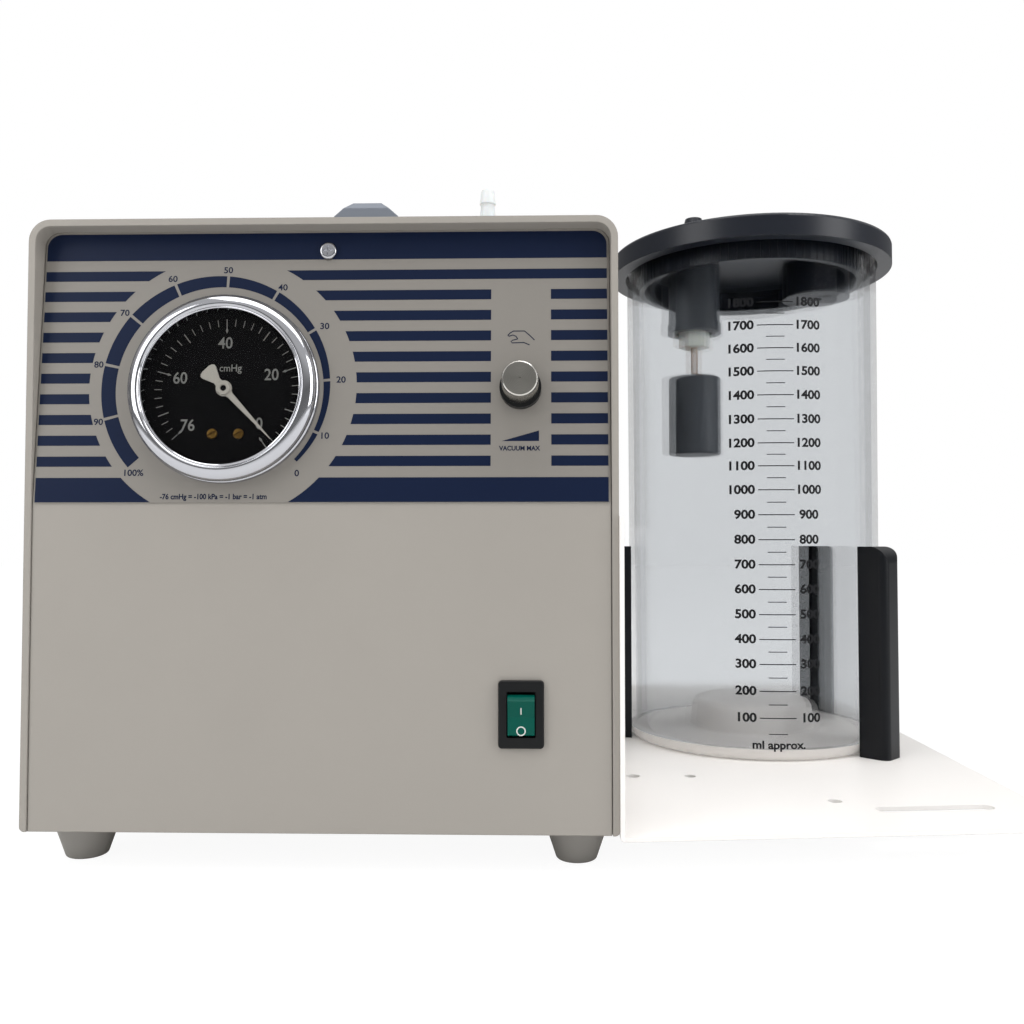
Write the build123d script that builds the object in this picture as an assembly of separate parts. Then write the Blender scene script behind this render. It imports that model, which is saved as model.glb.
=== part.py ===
"""Bench suction pump with a collection jar.

A sheet steel cabinet holds a rocking piston pump, a vacuum gauge, a vacuum regulator and a
rocker switch. A bent steel tray on the cabinet's right side carries the jar between three posts.
The jar's lid holds the inlet and outlet ports and a float that shuts the outlet when the jar is full.

Everything is drawn from the cabinet's lower front left corner: X to the right, Y to the back, Z up.
The last step moves it so that the origin lies under the middle of the whole pump, at foot level.
"""
import os
from math import atan2, cos, degrees, radians, sin, tan

from build123d import *

# Cabinet
CABINET_W = 190.0
CABINET_D = 320.0
CABINET_H = 196.0
SHELL_T = 2.2
SHELL_TOP_R = 7.0
SHELL_EDGE_R = 1.6
PANEL_T = 1.5
PANEL_INSET = 0.5
PANEL_GAP = 0.25
FLANGE_L = 12.0
CONTROL_H = 91.75
PANEL_LEAN = 6.4
LABEL_T = 0.4
LABEL_MARGIN = 0.8
BASE_T = 1.5
BASE_FLANGE_H = 14.0

# Feet
FOOT_H = 13.0
FOOT_TOP_R = 11.0
FOOT_TIP_R = 6.6
FOOT_INSET_X = 12.8
FOOT_INSET_Y = 20.0
FOOT_RECESS_R = 4.2
FOOT_RECESS_H = 6.0
FOOT_SCREW_R = 2.0

# Vacuum gauge, placed along the leaning panel from the fold
GAUGE_X = 63.5
GAUGE_UP = 36.9
GAUGE_FLANGE_R = 30.8
GAUGE_FLANGE_H = 2.0
GAUGE_CASE_R = 27.0
GAUGE_CASE_DEPTH = 24.0
GAUGE_WALL = 1.0
GAUGE_RING_R = 27.7
GAUGE_RING_BORE_R = 24.6
GAUGE_RING_FRONT = 6.4
GAUGE_LENS_T = 1.2
DIAL_R = 25.6
DIAL_T = 0.6
DIAL_BACK = -2.0
DIAL_SCREW_X = 4.3
DIAL_SCREW_DROP = 14.3
DIAL_SCREW_R = 0.9
MOVEMENT_W = 24.0
MOVEMENT_L = 36.0
MOVEMENT_T = 5.0
POINTER_TIP = 22.6
POINTER_TAIL = 8.8
POINTER_T = 0.5
POINTER_GAP = 1.2
POINTER_HUB_R = 2.6
POINTER_HUB_H = 0.7
POINTER_REST_DEG = -46.8
ARBOR_R = 1.0
BOURDON_R = 19.0
BOURDON_TUBE_W = 6.0
BOURDON_TUBE_T = 2.4
BOURDON_TURN = 250.0
BOURDON_BLOCK_W = 8.0
GAUGE_STEM_R = 6.0
GAUGE_STEM_L = 14.0

# Vacuum regulator, beside the gauge
VALVE_INSET = 31.1
VALVE_UP = 36.6
VALVE_COLLAR_R = 6.65
VALVE_COLLAR_H = 3.4
VALVE_SHANK_R = 4.0
VALVE_SHANK_L = 22.0
VALVE_BORE_R = 1.6
VALVE_BARB_R = 3.2
VALVE_BARB_L = 12.0
VALVE_NUT_AF = 12.0
VALVE_NUT_T = 3.0
KNOB_R = 5.8
KNOB_H = 11.0
KNOB_RIM = 0.5
KNURLS = 28
NEEDLE_L = 20.0
NEEDLE_TRAVEL = 2.1

# Panel screw
PANEL_SCREW_SIDE = 1.2
PANEL_SCREW_DROP = 7.2
PANEL_SCREW_HEAD_R = 2.8
PANEL_SCREW_HEAD_H = 1.8
RECESS_L = 3.2
RECESS_W = 0.7

# Rocker switch in the lower panel
ROCKER_INSET = 30.9
ROCKER_Z = 37.7
ROCKER_BEZEL_W = 14.4
ROCKER_BEZEL_H = 21.2
ROCKER_BEZEL_T = 1.6
ROCKER_BODY_W = 12.8
ROCKER_BODY_H = 18.8
ROCKER_BODY_D = 16.0
ROCKER_W = 8.4
ROCKER_H = 12.6
ROCKER_TILT = 10.0
ROCKER_PIVOT_DEPTH = 0.5
ROCKER_GAP = 0.3
ROCKER_END_R = 6.8
ROCKER_ROOM_D = 8.0
TAB_W = 6.3
TAB_T = 0.8
TAB_L = 8.0
TAB_SIDE = 3.4
TAB_RISE = 4.5

# Carrying handle on the top
HANDLE_L = 160.0
HANDLE_W = 26.0
HANDLE_TOP_W = 11.4
HANDLE_RISE = 34.5
HANDLE_GRIP_T = 13.0
HANDLE_CHAMFER_H = 6.4
HANDLE_POST_L = 20.0
HANDLE_END_CHAMFER = 3.0
HANDLE_GAP_R = 6.0
HANDLE_SCREW_R = 2.5
HANDLE_SCREW_GRIP = 12.0
SCREW_END_GAP = 2.0

# Vacuum port on the top
PORT_INSET = 43.5
PORT_Y = 40.0
PORT_H = 23.0
PORT_R = 2.9
PORT_BORE_R = 1.7
PORT_FLANGE_R = 5.0
PORT_FLANGE_H = 3.0
PORT_NUT_AF = 10.0
PORT_NUT_T = 3.0
PORT_SPIGOT_L = 14.2

# Jar tray on the right side
TRAY_REACH = 150.0
TRAY_T = 1.5
TRAY_BEND_R = 2.4
TRAY_FLANGE_H = 100.0
TRAY_FRONT_Y = -1.5
TRAY_SKEW_DEG = 5.7
TRAY_CORNER_R = 8.0
TRAY_SLOT_X = 111.5
TRAY_SLOT_BACK = 25.0
TRAY_SLOT_L = 42.0
TRAY_SLOT_W = 6.0
TRAY_HOLES = ((11.9, 77.8, 2.7), (34.3, 78.2, 2.3), (79.8, 43.0, 2.5))

# Jar and its posts
JAR_REACH = 76.5
JAR_Y = 159.0
JAR_H = 223.5
JAR_BASE_R = 57.1
JAR_TOP_R = 58.0
JAR_WALL = 2.6
JAR_FLOOR_T = 5.0
JAR_CORNER_R = 4.0
PUNT_R = 27.0
PUNT_H = 18.5
PUNT_WALL = 4.0
FOOT_RING_H = 1.2
SEAT_GAP = 0.1
POST_H = 90.0
POST_W = 14.0
POST_T = 12.0
POST_CORNER_R = 3.5
POST_TOP_R = 7.0
POST_GAP = 0.5
POST_ANGLES = (180.0, -45.0, 45.0)
POST_SCREW_R = 2.5
POST_SCREW_GRIP = 16.0

# Lid
LID_R = 65.0
LID_RIM_H = 9.6
LID_PLATE_T = 4.0
LID_RIM_CLEAR = 0.6
LID_SKIRT_R = 52.0
LID_SKIRT_T = 2.5
LID_SKIRT_DROP = 6.0
GASKET_T = 1.8
GASKET_W = 5.0

# Float valve under the lid
FLOAT_OFFSET = -26.0
SOCKET_R = 12.1
SOCKET_COLLAR_R = 12.6
SOCKET_COLLAR_H = 4.5
SOCKET_DROP = 33.1
SOCKET_BORE_R = 5.0
SOCKET_MOUTH_R = 8.5
FLOAT_NUT_R = 6.4
FLOAT_NUT_H = 11.2
FLOAT_NUT_NECK_H = 6.0
FLOAT_ROD_R = 1.6
FLOAT_R = 12.2
FLOAT_H = 37.3
FLOAT_TRAVEL = 12.0
FLOAT_GAP = 14.6
ROD_SEAT_L = 10.0
ROD_STOP_T = 1.5
FLOAT_SEAL_R = 3.6
FLOAT_SEAL_T = 2.5

# Ports of the lid
INLET_OFFSET = 32.5
INLET_BOSS_R = 15.5
INLET_BOSS_DROP = 16.4
LID_PORT_BORE_R = 3.0
LID_PORT_R = 5.0
LID_PORT_H = 19.0
LID_PORT_FLANGE_R = 8.0
LID_PORT_FLANGE_H = 3.0
LID_PORT_SPIGOT_R = 5.2
LID_PORT_SPIGOT_H = 3.5

# Pump unit inside the cabinet
PUMP_SIDE = -3.0
PUMP_Z = 66.0
MOTOR_R = 38.0
MOTOR_L = 92.0
MOTOR_Y = 140.0
SHAFT_R = 4.0
RUN_CLEAR = 0.05
SHAFT_FRONT_L = 48.0
SHAFT_REAR_L = 26.0
CRANKCASE_W = 62.0
CRANKCASE_L = 56.0
CRANKCASE_WALL = 4.0
ECCENTRIC_R = 8.0
ECCENTRIC_L = 10.0
STROKE_HALF = 3.0
ROD_EYE_WALL = 4.0
ROD_EYE_L = 8.0
CYLINDER_R = 22.0
CYLINDER_BORE_R = 16.0
CYLINDER_L = 34.0
PISTON_T = 6.0
PISTON_CLEAR = 0.08
HEAD_W = 52.0
HEAD_H = 14.0
HEAD_FIN_T = 2.0
HEAD_FINS = 5
FAN_R = 34.0
FAN_L = 14.0
FAN_HUB_R = 9.0
FAN_BLADES = 7
CRADLE_W = 70.0
CRADLE_T = 3.0
RUBBER_R = 7.0
RUBBER_H = 14.0
RUBBER_SPREAD_X = 40.0
RUBBER_SPREAD_Y = 66.0

# Rear panel
INLET_X = 38.0
INLET_Z = 32.0
INLET_W = 27.0
INLET_H = 19.5
INLET_FLANGE_W = 48.0
INLET_FLANGE_H = 24.0
INLET_FLANGE_T = 2.5
INLET_DEPTH = 18.0
INLET_WALL = 2.0
PIN_W = 4.0
PIN_T = 2.0
PIN_PITCH = 7.0
PIN_RISE = 2.5
VENT_INSET = 86.0
VENT_Z = 100.0
VENT_SLOTS = 9
VENT_PITCH = 9.0
VENT_SLOT_L = 84.0
VENT_SLOT_W = 4.0
SILENCER_INSET = 30.0
SILENCER_Z = 32.0
SILENCER_R = 8.0
SILENCER_L = 24.0
SILENCER_PROUD = 9.0

# Screws
SCREW_R = 2.0
SCREW_HEAD_R = 3.6
SCREW_HEAD_H = 2.2
SCREW_GRIP = 4.0
HOLE_CLEAR = 0.1
PRESS_CLEAR = 0.02

BOTTOM = (Align.CENTER, Align.CENTER, Align.MIN)
TOP = (Align.CENTER, Align.CENTER, Align.MAX)
FOLD_Z = CABINET_H - CONTROL_H
LEAN_DEG = degrees(atan2(PANEL_LEAN, CONTROL_H))
LEANING = Plane(
    origin=(0, PANEL_INSET, FOLD_Z),
    x_dir=(1, 0, 0),
    z_dir=(0, -cos(radians(LEAN_DEG)), sin(radians(LEAN_DEG))),
)
UPRIGHT = Plane(origin=(0, PANEL_INSET, 0), x_dir=(1, 0, 0), z_dir=(0, -1, 0))
REARWARD = Plane(origin=(0, CABINET_D - PANEL_INSET, 0), x_dir=(-1, 0, 0), z_dir=(0, 1, 0))
PANEL_TOP_UP = (CONTROL_H - SHELL_T) / cos(radians(LEAN_DEG))
PANEL_SCREW_UP = PANEL_TOP_UP - PANEL_SCREW_DROP
PANEL_SCREW_X = CABINET_W / 2 + PANEL_SCREW_SIDE
VALVE_X = CABINET_W - VALVE_INSET
ROCKER_X = CABINET_W - ROCKER_INSET
PORT_X = CABINET_W - PORT_INSET
VENT_X = CABINET_W - VENT_INSET
SILENCER_X = CABINET_W - SILENCER_INSET
PUMP_X = CABINET_W / 2 + PUMP_SIDE
JAR_X = CABINET_W + JAR_REACH


def disc(radius, height):
    return Cylinder(radius, height, align=BOTTOM)


def ring(outer, bore, height):
    return disc(outer, height) - disc(bore, height)


def hexagon(across_flats, height):
    return extrude(RegularPolygon(across_flats / 2, 6, major_radius=False), height)


def on_panel(x, up, out=0.0):
    """A place on the leaning control panel, with its Z pointing at the user."""
    return LEANING.location * Pos(x, up, out)


def on_front(x, z, out=0.0):
    return UPRIGHT.location * Pos(x, z, out)


def on_rear(x, z, out=0.0):
    """A place on the rear panel, with its Z pointing backwards."""
    return REARWARD.location * Pos(-x, z, out)


def front_prism(profile, depth):
    """An outline drawn as seen from the front, carried straight back."""
    return Rot(90, 0, 0) * extrude(profile, -depth)


def side_prism(points, x_start, x_end):
    """An outline of (y, z) points, carried to the right."""
    face = Plane.YZ * Polygon(*points, align=None)
    return Pos(x_start, 0, 0) * extrude(face, x_end - x_start, dir=(1, 0, 0))


def rounded_top_outline(width, height, radius, base=0.0):
    """A rectangle that stands on the line at base, with round top corners."""
    outline = Pos(CABINET_W / 2, base + height / 2) * Rectangle(width, height)
    return fillet(outline.vertices().group_by(Axis.Y)[-1], radius)


def spin(points):
    """Turn an outline of (radius, z) points about the Z axis."""
    return revolve(Plane.XZ * Polygon(*points, align=None), Axis.Z)


def screw(head_r, head_h, shank_r, length):
    """A round headed screw that points down from Z = 0."""
    head = disc(head_r, head_h)
    head = fillet(head.edges().group_by(Axis.Z)[-1], head_h * 0.45)
    return head + Cylinder(shank_r, length, align=TOP)


def drill(radius, length):
    """A cutter for a hole through a wall that lies just under Z = 0."""
    return Pos(0, 0, -length / 2) * Cylinder(radius, length * 1.5)


def foot_places():
    for x in (FOOT_INSET_X, CABINET_W - FOOT_INSET_X):
        for y in (FOOT_INSET_Y, CABINET_D - FOOT_INSET_Y):
            yield Pos(x, y, 0)


def handle_screw_places():
    middle = CABINET_D / 2
    reach = (HANDLE_L - HANDLE_POST_L) / 2
    for y in (middle - reach, middle + reach):
        yield Pos(CABINET_W / 2, y, CABINET_H)


def side_screw_places():
    """Shell screws low on the left side, and in front of and behind the tray's flange on the right."""
    z = BASE_T + BASE_FLANGE_H / 2
    for y in (30.0, CABINET_D / 2, CABINET_D - 30.0):
        yield Pos(0, y, z) * Rot(0, -90, 0)


def tray_screw_places():
    for y in (28.0, CABINET_D / 2, CABINET_D - 28.0):
        yield Pos(CABINET_W + TRAY_T, y, TRAY_FLANGE_H - 12.0) * Rot(0, 90, 0)
    for y in (28.0, CABINET_D - 28.0):
        yield Pos(CABINET_W + TRAY_T, y, BASE_T + BASE_FLANGE_H / 2) * Rot(0, 90, 0)


def post_places():
    """Each post's seat on the tray: X points away from the jar."""
    for angle in POST_ANGLES:
        yield Pos(JAR_X, JAR_Y, 0) * Rot(0, 0, angle)


def rubber_places():
    for x in (-RUBBER_SPREAD_X, RUBBER_SPREAD_X):
        for y in (-RUBBER_SPREAD_Y / 2, RUBBER_SPREAD_Y / 2):
            yield Pos(PUMP_X + x, MOTOR_Y + MOTOR_L / 2 + y, BASE_T)


def shell():
    """The wrapped cover: left side, top and right side in one sheet."""
    outside = rounded_top_outline(CABINET_W, CABINET_H, SHELL_TOP_R)
    outside = fillet(outside.vertices().group_by(Axis.Y)[0], SHELL_EDGE_R)
    inside = rounded_top_outline(
        CABINET_W - 2 * SHELL_T, CABINET_H, SHELL_TOP_R - SHELL_T, base=-SHELL_T
    )
    cover = front_prism(outside - inside, CABINET_D)
    for place in handle_screw_places():
        cover -= place * drill(HANDLE_SCREW_R + HOLE_CLEAR, SHELL_T)
    for place in side_screw_places():
        cover -= place * drill(SCREW_R + HOLE_CLEAR, SHELL_T)
    for place in tray_screw_places():
        cover -= place * drill(SCREW_R + HOLE_CLEAR, 2 * SHELL_T)
    cover -= Pos(PORT_X, PORT_Y, CABINET_H) * drill(PORT_R + HOLE_CLEAR, SHELL_T)
    return cover


def panel_window():
    """What the front and rear panels fill: the shell's mouth less a fitting gap."""
    width = CABINET_W - 2 * SHELL_T - 2 * PANEL_GAP
    return rounded_top_outline(width, CABINET_H - SHELL_T, SHELL_TOP_R - SHELL_T)


def flange_notches(start, end):
    """Cutters that shorten a panel's lower flange to fit between the base plate's own flanges."""
    notch = Box(SHELL_TOP_R, end - start, 3 * PANEL_T, align=(Align.CENTER, Align.MIN, Align.MIN))
    left = SHELL_T + SHELL_TOP_R / 2
    return [Pos(x, start, BASE_T) * notch for x in (left, CABINET_W - left)]


def front_panel():
    """One folded sheet: upright below the fold, leaning back above it, with a flange at each end."""
    top = CABINET_H - SHELL_T
    lean = radians(LEAN_DEG)
    top_y = PANEL_INSET + (top - FOLD_Z) * tan(lean)
    inner = PANEL_INSET + PANEL_T
    points = (
        (PANEL_INSET, 0),
        (PANEL_INSET, FOLD_Z),
        (top_y, top),
        (top_y + FLANGE_L, top),
        (top_y + FLANGE_L, top - PANEL_T),
        (top_y + PANEL_T / cos(lean) - PANEL_T * tan(lean), top - PANEL_T),
        (inner, FOLD_Z - PANEL_T * tan(lean / 2)),
        (inner, BASE_T + PANEL_T),
        (inner + FLANGE_L, BASE_T + PANEL_T),
        (inner + FLANGE_L, BASE_T),
        (inner, BASE_T),
        (inner, 0),
    )
    sheet = side_prism(points, 0, CABINET_W)
    sheet &= front_prism(panel_window(), CABINET_D)
    sheet -= flange_notches(inner, inner + FLANGE_L)
    sheet -= on_panel(GAUGE_X, GAUGE_UP) * drill(GAUGE_CASE_R + HOLE_CLEAR, 2 * PANEL_T)
    sheet -= on_panel(VALVE_X, VALVE_UP) * drill(VALVE_SHANK_R + HOLE_CLEAR, 2 * PANEL_T)
    sheet -= on_panel(PANEL_SCREW_X, PANEL_SCREW_UP) * drill(SCREW_R - HOLE_CLEAR, 2 * PANEL_T)
    sheet -= on_front(ROCKER_X, ROCKER_Z, -PANEL_T) * Box(
        ROCKER_BODY_W + 2 * HOLE_CLEAR, ROCKER_BODY_H + 2 * HOLE_CLEAR, 4 * PANEL_T
    )
    return sheet


def control_label():
    """The printed film on the leaning part of the panel."""
    width = CABINET_W - 2 * (SHELL_T + LABEL_MARGIN)
    height = PANEL_TOP_UP - LABEL_MARGIN
    outline = Pos(CABINET_W / 2, height / 2) * Rectangle(width, height)
    outline = fillet(outline.vertices().group_by(Axis.Y)[-1], SHELL_TOP_R - SHELL_T)
    outline -= Pos(GAUGE_X, GAUGE_UP) * Circle(GAUGE_CASE_R + HOLE_CLEAR)
    outline -= Pos(VALVE_X, VALVE_UP) * Circle(VALVE_SHANK_R + HOLE_CLEAR)
    outline -= Pos(PANEL_SCREW_X, PANEL_SCREW_UP) * Circle(PANEL_SCREW_HEAD_R + HOLE_CLEAR)
    return LEANING.location * extrude(outline, LABEL_T)


def panel_screw():
    """The cross recessed screw that holds the panel's top edge."""
    head = PANEL_SCREW_HEAD_H
    body = screw(PANEL_SCREW_HEAD_R, head, SCREW_R - HOLE_CLEAR, PANEL_T + SCREW_GRIP)
    for turn in (0, 90):
        body -= Pos(0, 0, head) * Rot(0, 0, turn) * Box(RECESS_L, RECESS_W, head)
    return on_panel(PANEL_SCREW_X, PANEL_SCREW_UP) * body


def rear_panel():
    """A sheet with the same flanges as the front, vent slots and the cut-outs for what it carries."""
    top = CABINET_H - SHELL_T
    back = CABINET_D - PANEL_INSET
    inner = back - PANEL_T
    points = (
        (back, 0),
        (back, top),
        (back - FLANGE_L, top),
        (back - FLANGE_L, top - PANEL_T),
        (inner, top - PANEL_T),
        (inner, BASE_T + PANEL_T),
        (inner - FLANGE_L, BASE_T + PANEL_T),
        (inner - FLANGE_L, BASE_T),
        (inner, BASE_T),
        (inner, 0),
    )
    sheet = side_prism(points, 0, CABINET_W)
    sheet &= front_prism(panel_window(), CABINET_D)
    sheet -= flange_notches(inner - FLANGE_L, inner)
    for index in range(VENT_SLOTS):
        z = VENT_Z + (index - (VENT_SLOTS - 1) / 2) * VENT_PITCH
        slot = extrude(SlotOverall(VENT_SLOT_L, VENT_SLOT_W), 4 * PANEL_T, both=True)
        sheet -= on_rear(VENT_X, z) * slot
    sheet -= on_rear(INLET_X, INLET_Z) * Box(
        INLET_W + 2 * HOLE_CLEAR, INLET_H + 2 * HOLE_CLEAR, 4 * PANEL_T
    )
    sheet -= on_rear(SILENCER_X, SILENCER_Z) * drill(SILENCER_R + HOLE_CLEAR, 2 * PANEL_T)
    return sheet


def base_plate():
    """The floor between the two panels, with an upturned flange along each side."""
    start = PANEL_INSET + PANEL_T
    length = CABINET_D - 2 * start
    width = CABINET_W - 2 * SHELL_T
    plate = Pos(CABINET_W / 2, start + length / 2, 0) * Box(width, length, BASE_T, align=BOTTOM)
    for x in (SHELL_T + BASE_T / 2, CABINET_W - SHELL_T - BASE_T / 2):
        plate += Pos(x, start + length / 2, 0) * Box(
            BASE_T, length, BASE_T + BASE_FLANGE_H, align=BOTTOM
        )
    for place in foot_places():
        plate -= place * Cylinder(FOOT_SCREW_R + HOLE_CLEAR, 4 * BASE_T)
    for place in side_screw_places():
        plate -= place * drill(SCREW_R + HOLE_CLEAR, 2 * (SHELL_T + BASE_T))
    for place in tray_screw_places():
        plate -= place * drill(SCREW_R + HOLE_CLEAR, 2 * (TRAY_T + SHELL_T + BASE_T))
    for row in range(5):
        x = PUMP_X + (row - 2) * VENT_PITCH
        slot = extrude(Rot(0, 0, 90) * SlotOverall(VENT_SLOT_L / 2, VENT_SLOT_W), 4 * BASE_T, both=True)
        plate -= Pos(x, MOTOR_Y + MOTOR_L / 2, 0) * slot
    return plate


def foot():
    """A tapered rubber foot with a recess for its screw."""
    taper = spin(((0, -FOOT_H), (FOOT_TIP_R, -FOOT_H), (FOOT_TOP_R, 0), (0, 0)))
    taper = fillet(taper.edges().group_by(Axis.Z)[0], 1.2)
    taper -= Pos(0, 0, -FOOT_H) * disc(FOOT_RECESS_R, FOOT_RECESS_H)
    return taper - Cylinder(FOOT_SCREW_R + HOLE_CLEAR, 3 * FOOT_H)


def foot_screws():
    length = FOOT_H - FOOT_RECESS_H + BASE_T + SCREW_GRIP
    one = screw(SCREW_HEAD_R, SCREW_HEAD_H, FOOT_SCREW_R, length)
    seat = FOOT_RECESS_H - FOOT_H
    return [place * Pos(0, 0, seat) * Rot(180, 0, 0) * one for place in foot_places()]


def shell_screws():
    one = screw(SCREW_HEAD_R, SCREW_HEAD_H, SCREW_R, SHELL_T + BASE_T + SCREW_GRIP)
    return [place * one for place in side_screw_places()]


def gauge_case():
    """The can behind the panel, with the flange that lies on it."""
    can = Pos(0, 0, -GAUGE_CASE_DEPTH) * disc(GAUGE_CASE_R, GAUGE_CASE_DEPTH + LABEL_T)
    flange = Pos(0, 0, LABEL_T) * disc(GAUGE_FLANGE_R, GAUGE_FLANGE_H)
    flange = fillet(flange.edges().group_by(Axis.Z)[-1], GAUGE_FLANGE_H * 0.6)
    floor = GAUGE_WALL - GAUGE_CASE_DEPTH
    room = Pos(0, 0, floor) * disc(GAUGE_CASE_R - GAUGE_WALL, GAUGE_CASE_DEPTH + GAUGE_FLANGE_H)
    case = can + flange - room
    case -= Pos(0, 0, -GAUGE_CASE_DEPTH) * Cylinder(GAUGE_STEM_R + HOLE_CLEAR, 4 * GAUGE_WALL)
    return on_panel(GAUGE_X, GAUGE_UP) * case


def gauge_ring():
    """The polished snap ring that holds the lens."""
    seat = LABEL_T + GAUGE_FLANGE_H
    outer = GAUGE_RING_R
    bore = GAUGE_RING_BORE_R
    front = GAUGE_RING_FRONT
    bevel = GAUGE_LENS_T
    body = spin(((bore, seat), (outer, seat), (outer, front - bevel), (outer - bevel, front), (bore, front)))
    groove = Pos(0, 0, front - GAUGE_LENS_T - 1.5) * disc(DIAL_R + HOLE_CLEAR, GAUGE_LENS_T)
    return on_panel(GAUGE_X, GAUGE_UP) * (body - groove)


def gauge_lens():
    place = on_panel(GAUGE_X, GAUGE_UP, GAUGE_RING_FRONT - GAUGE_LENS_T - 1.5)
    return place * disc(DIAL_R, GAUGE_LENS_T)


def gauge_dial():
    """The dial plate, with holes for the arbor and its two screws."""
    plate = disc(GAUGE_CASE_R - GAUGE_WALL, DIAL_T) - disc(ARBOR_R + 0.4, DIAL_T)
    for x in (-DIAL_SCREW_X, DIAL_SCREW_X):
        plate -= Pos(x, -DIAL_SCREW_DROP, 0) * disc(DIAL_SCREW_R, DIAL_T)
    return on_panel(GAUGE_X, GAUGE_UP, DIAL_BACK) * plate


def gauge_movement():
    """The frame plate behind the dial: a bearing for the arbor and the dial screws' seats."""
    plate = Box(MOVEMENT_W, MOVEMENT_L, MOVEMENT_T, align=TOP)
    plate -= Cylinder(ARBOR_R + RUN_CLEAR, 3 * MOVEMENT_T)
    for x in (-DIAL_SCREW_X, DIAL_SCREW_X):
        plate -= Pos(x, -DIAL_SCREW_DROP, 0) * Cylinder(DIAL_SCREW_R, 3 * MOVEMENT_T)
    return on_panel(GAUGE_X, GAUGE_UP, DIAL_BACK) * plate


def dial_screws():
    one = screw(2 * DIAL_SCREW_R, DIAL_SCREW_R, DIAL_SCREW_R - PRESS_CLEAR, DIAL_T + MOVEMENT_T - 1.0)
    places = [Pos(x, -DIAL_SCREW_DROP, DIAL_BACK + DIAL_T) for x in (-DIAL_SCREW_X, DIAL_SCREW_X)]
    return [on_panel(GAUGE_X, GAUGE_UP) * place * one for place in places]


def bourdon_tube():
    """The curved flat tube that the vacuum bends, with its stem out of the back of the case."""
    middle = -GAUGE_CASE_DEPTH + GAUGE_WALL + 2.0 + BOURDON_TUBE_W / 2
    flat = Rot(0, 0, 90) * SlotOverall(BOURDON_TUBE_W, BOURDON_TUBE_T)
    section = Plane.XZ * Pos(BOURDON_R, 0) * flat
    tube = Rot(0, 0, -90) * revolve(section, Axis.Z, BOURDON_TURN)
    block_l = BOURDON_R + 2 * BOURDON_TUBE_T
    block = Pos(0, -BOURDON_R / 2, 0) * Box(BOURDON_BLOCK_W, block_l, BOURDON_TUBE_W)
    stem = Pos(0, 0, -GAUGE_CASE_DEPTH - GAUGE_STEM_L - middle) * disc(
        GAUGE_STEM_R, GAUGE_STEM_L + GAUGE_CASE_DEPTH + middle
    )
    return on_panel(GAUGE_X, GAUGE_UP, middle) * (tube + block + stem)


def gauge_pointer():
    """A tapering pointer with a fan shaped tail, a hub and the arbor under it."""
    above_dial = DIAL_BACK + DIAL_T + POINTER_GAP
    blade = Polygon(
        (0, -0.9), (POINTER_TIP, -0.15), (POINTER_TIP, 0.15), (0, 0.9), align=None
    )
    tail = Polygon(
        (0, -0.8), (0, 0.8), (-POINTER_TAIL, 2.6), (-POINTER_TAIL, -2.6), align=None
    )
    shape = extrude(blade + tail, POINTER_T) + disc(POINTER_HUB_R, POINTER_T + POINTER_HUB_H)
    arbor_l = MOVEMENT_T + 1.0 + DIAL_T + POINTER_GAP
    arbor = Cylinder(ARBOR_R, arbor_l, align=TOP)
    pointer = shape + arbor
    return on_panel(GAUGE_X, GAUGE_UP, above_dial) * Rot(0, 0, POINTER_REST_DEG) * pointer


def valve_body():
    """The regulator's collar on the panel, its threaded shank through it and its hose tail."""
    collar = Pos(0, 0, LABEL_T) * disc(VALVE_COLLAR_R, VALVE_COLLAR_H)
    shank = Cylinder(VALVE_SHANK_R, VALVE_SHANK_L, align=TOP) + disc(VALVE_SHANK_R, LABEL_T)
    tail = Pos(0, 0, -VALVE_SHANK_L) * Cylinder(VALVE_BARB_R, VALVE_BARB_L, align=TOP)
    bore = Cylinder(VALVE_BORE_R + 0.05, 4 * (VALVE_SHANK_L + VALVE_BARB_L))
    return on_panel(VALVE_X, VALVE_UP) * (collar + shank + tail - bore)


def valve_nut():
    nut = hexagon(VALVE_NUT_AF, VALVE_NUT_T) - disc(VALVE_SHANK_R, VALVE_NUT_T)
    return on_panel(VALVE_X, VALVE_UP, -PANEL_T - VALVE_NUT_T) * nut


def valve_knob():
    """The knurled knob, hollow at the back where the needle's head moves in it."""
    body = disc(KNOB_R, KNOB_H)
    body = fillet(body.edges().group_by(Axis.Z)[-1], KNOB_RIM)
    body -= disc(VALVE_BORE_R + 0.4, KNOB_H - 2.0)
    groove = Pos(KNOB_R + 0.25, 0, 1.0) * Box(0.9, 0.5, KNOB_H - 2.5, align=BOTTOM)
    for index in range(KNURLS):
        body -= Rot(0, 0, index * 360 / KNURLS) * groove
    return on_panel(VALVE_X, VALVE_UP, LABEL_T + VALVE_COLLAR_H + SEAT_GAP) * body


def valve_needle():
    """The needle that the knob draws out of its seat."""
    front = LABEL_T + VALVE_COLLAR_H + KNOB_H - 2.0 - NEEDLE_TRAVEL - 0.6
    shaft = Pos(0, 0, front - NEEDLE_L) * disc(VALVE_BORE_R, NEEDLE_L)
    shaft = chamfer(shaft.edges().group_by(Axis.Z)[0], 1.2)
    return on_panel(VALVE_X, VALVE_UP) * shaft


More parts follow.
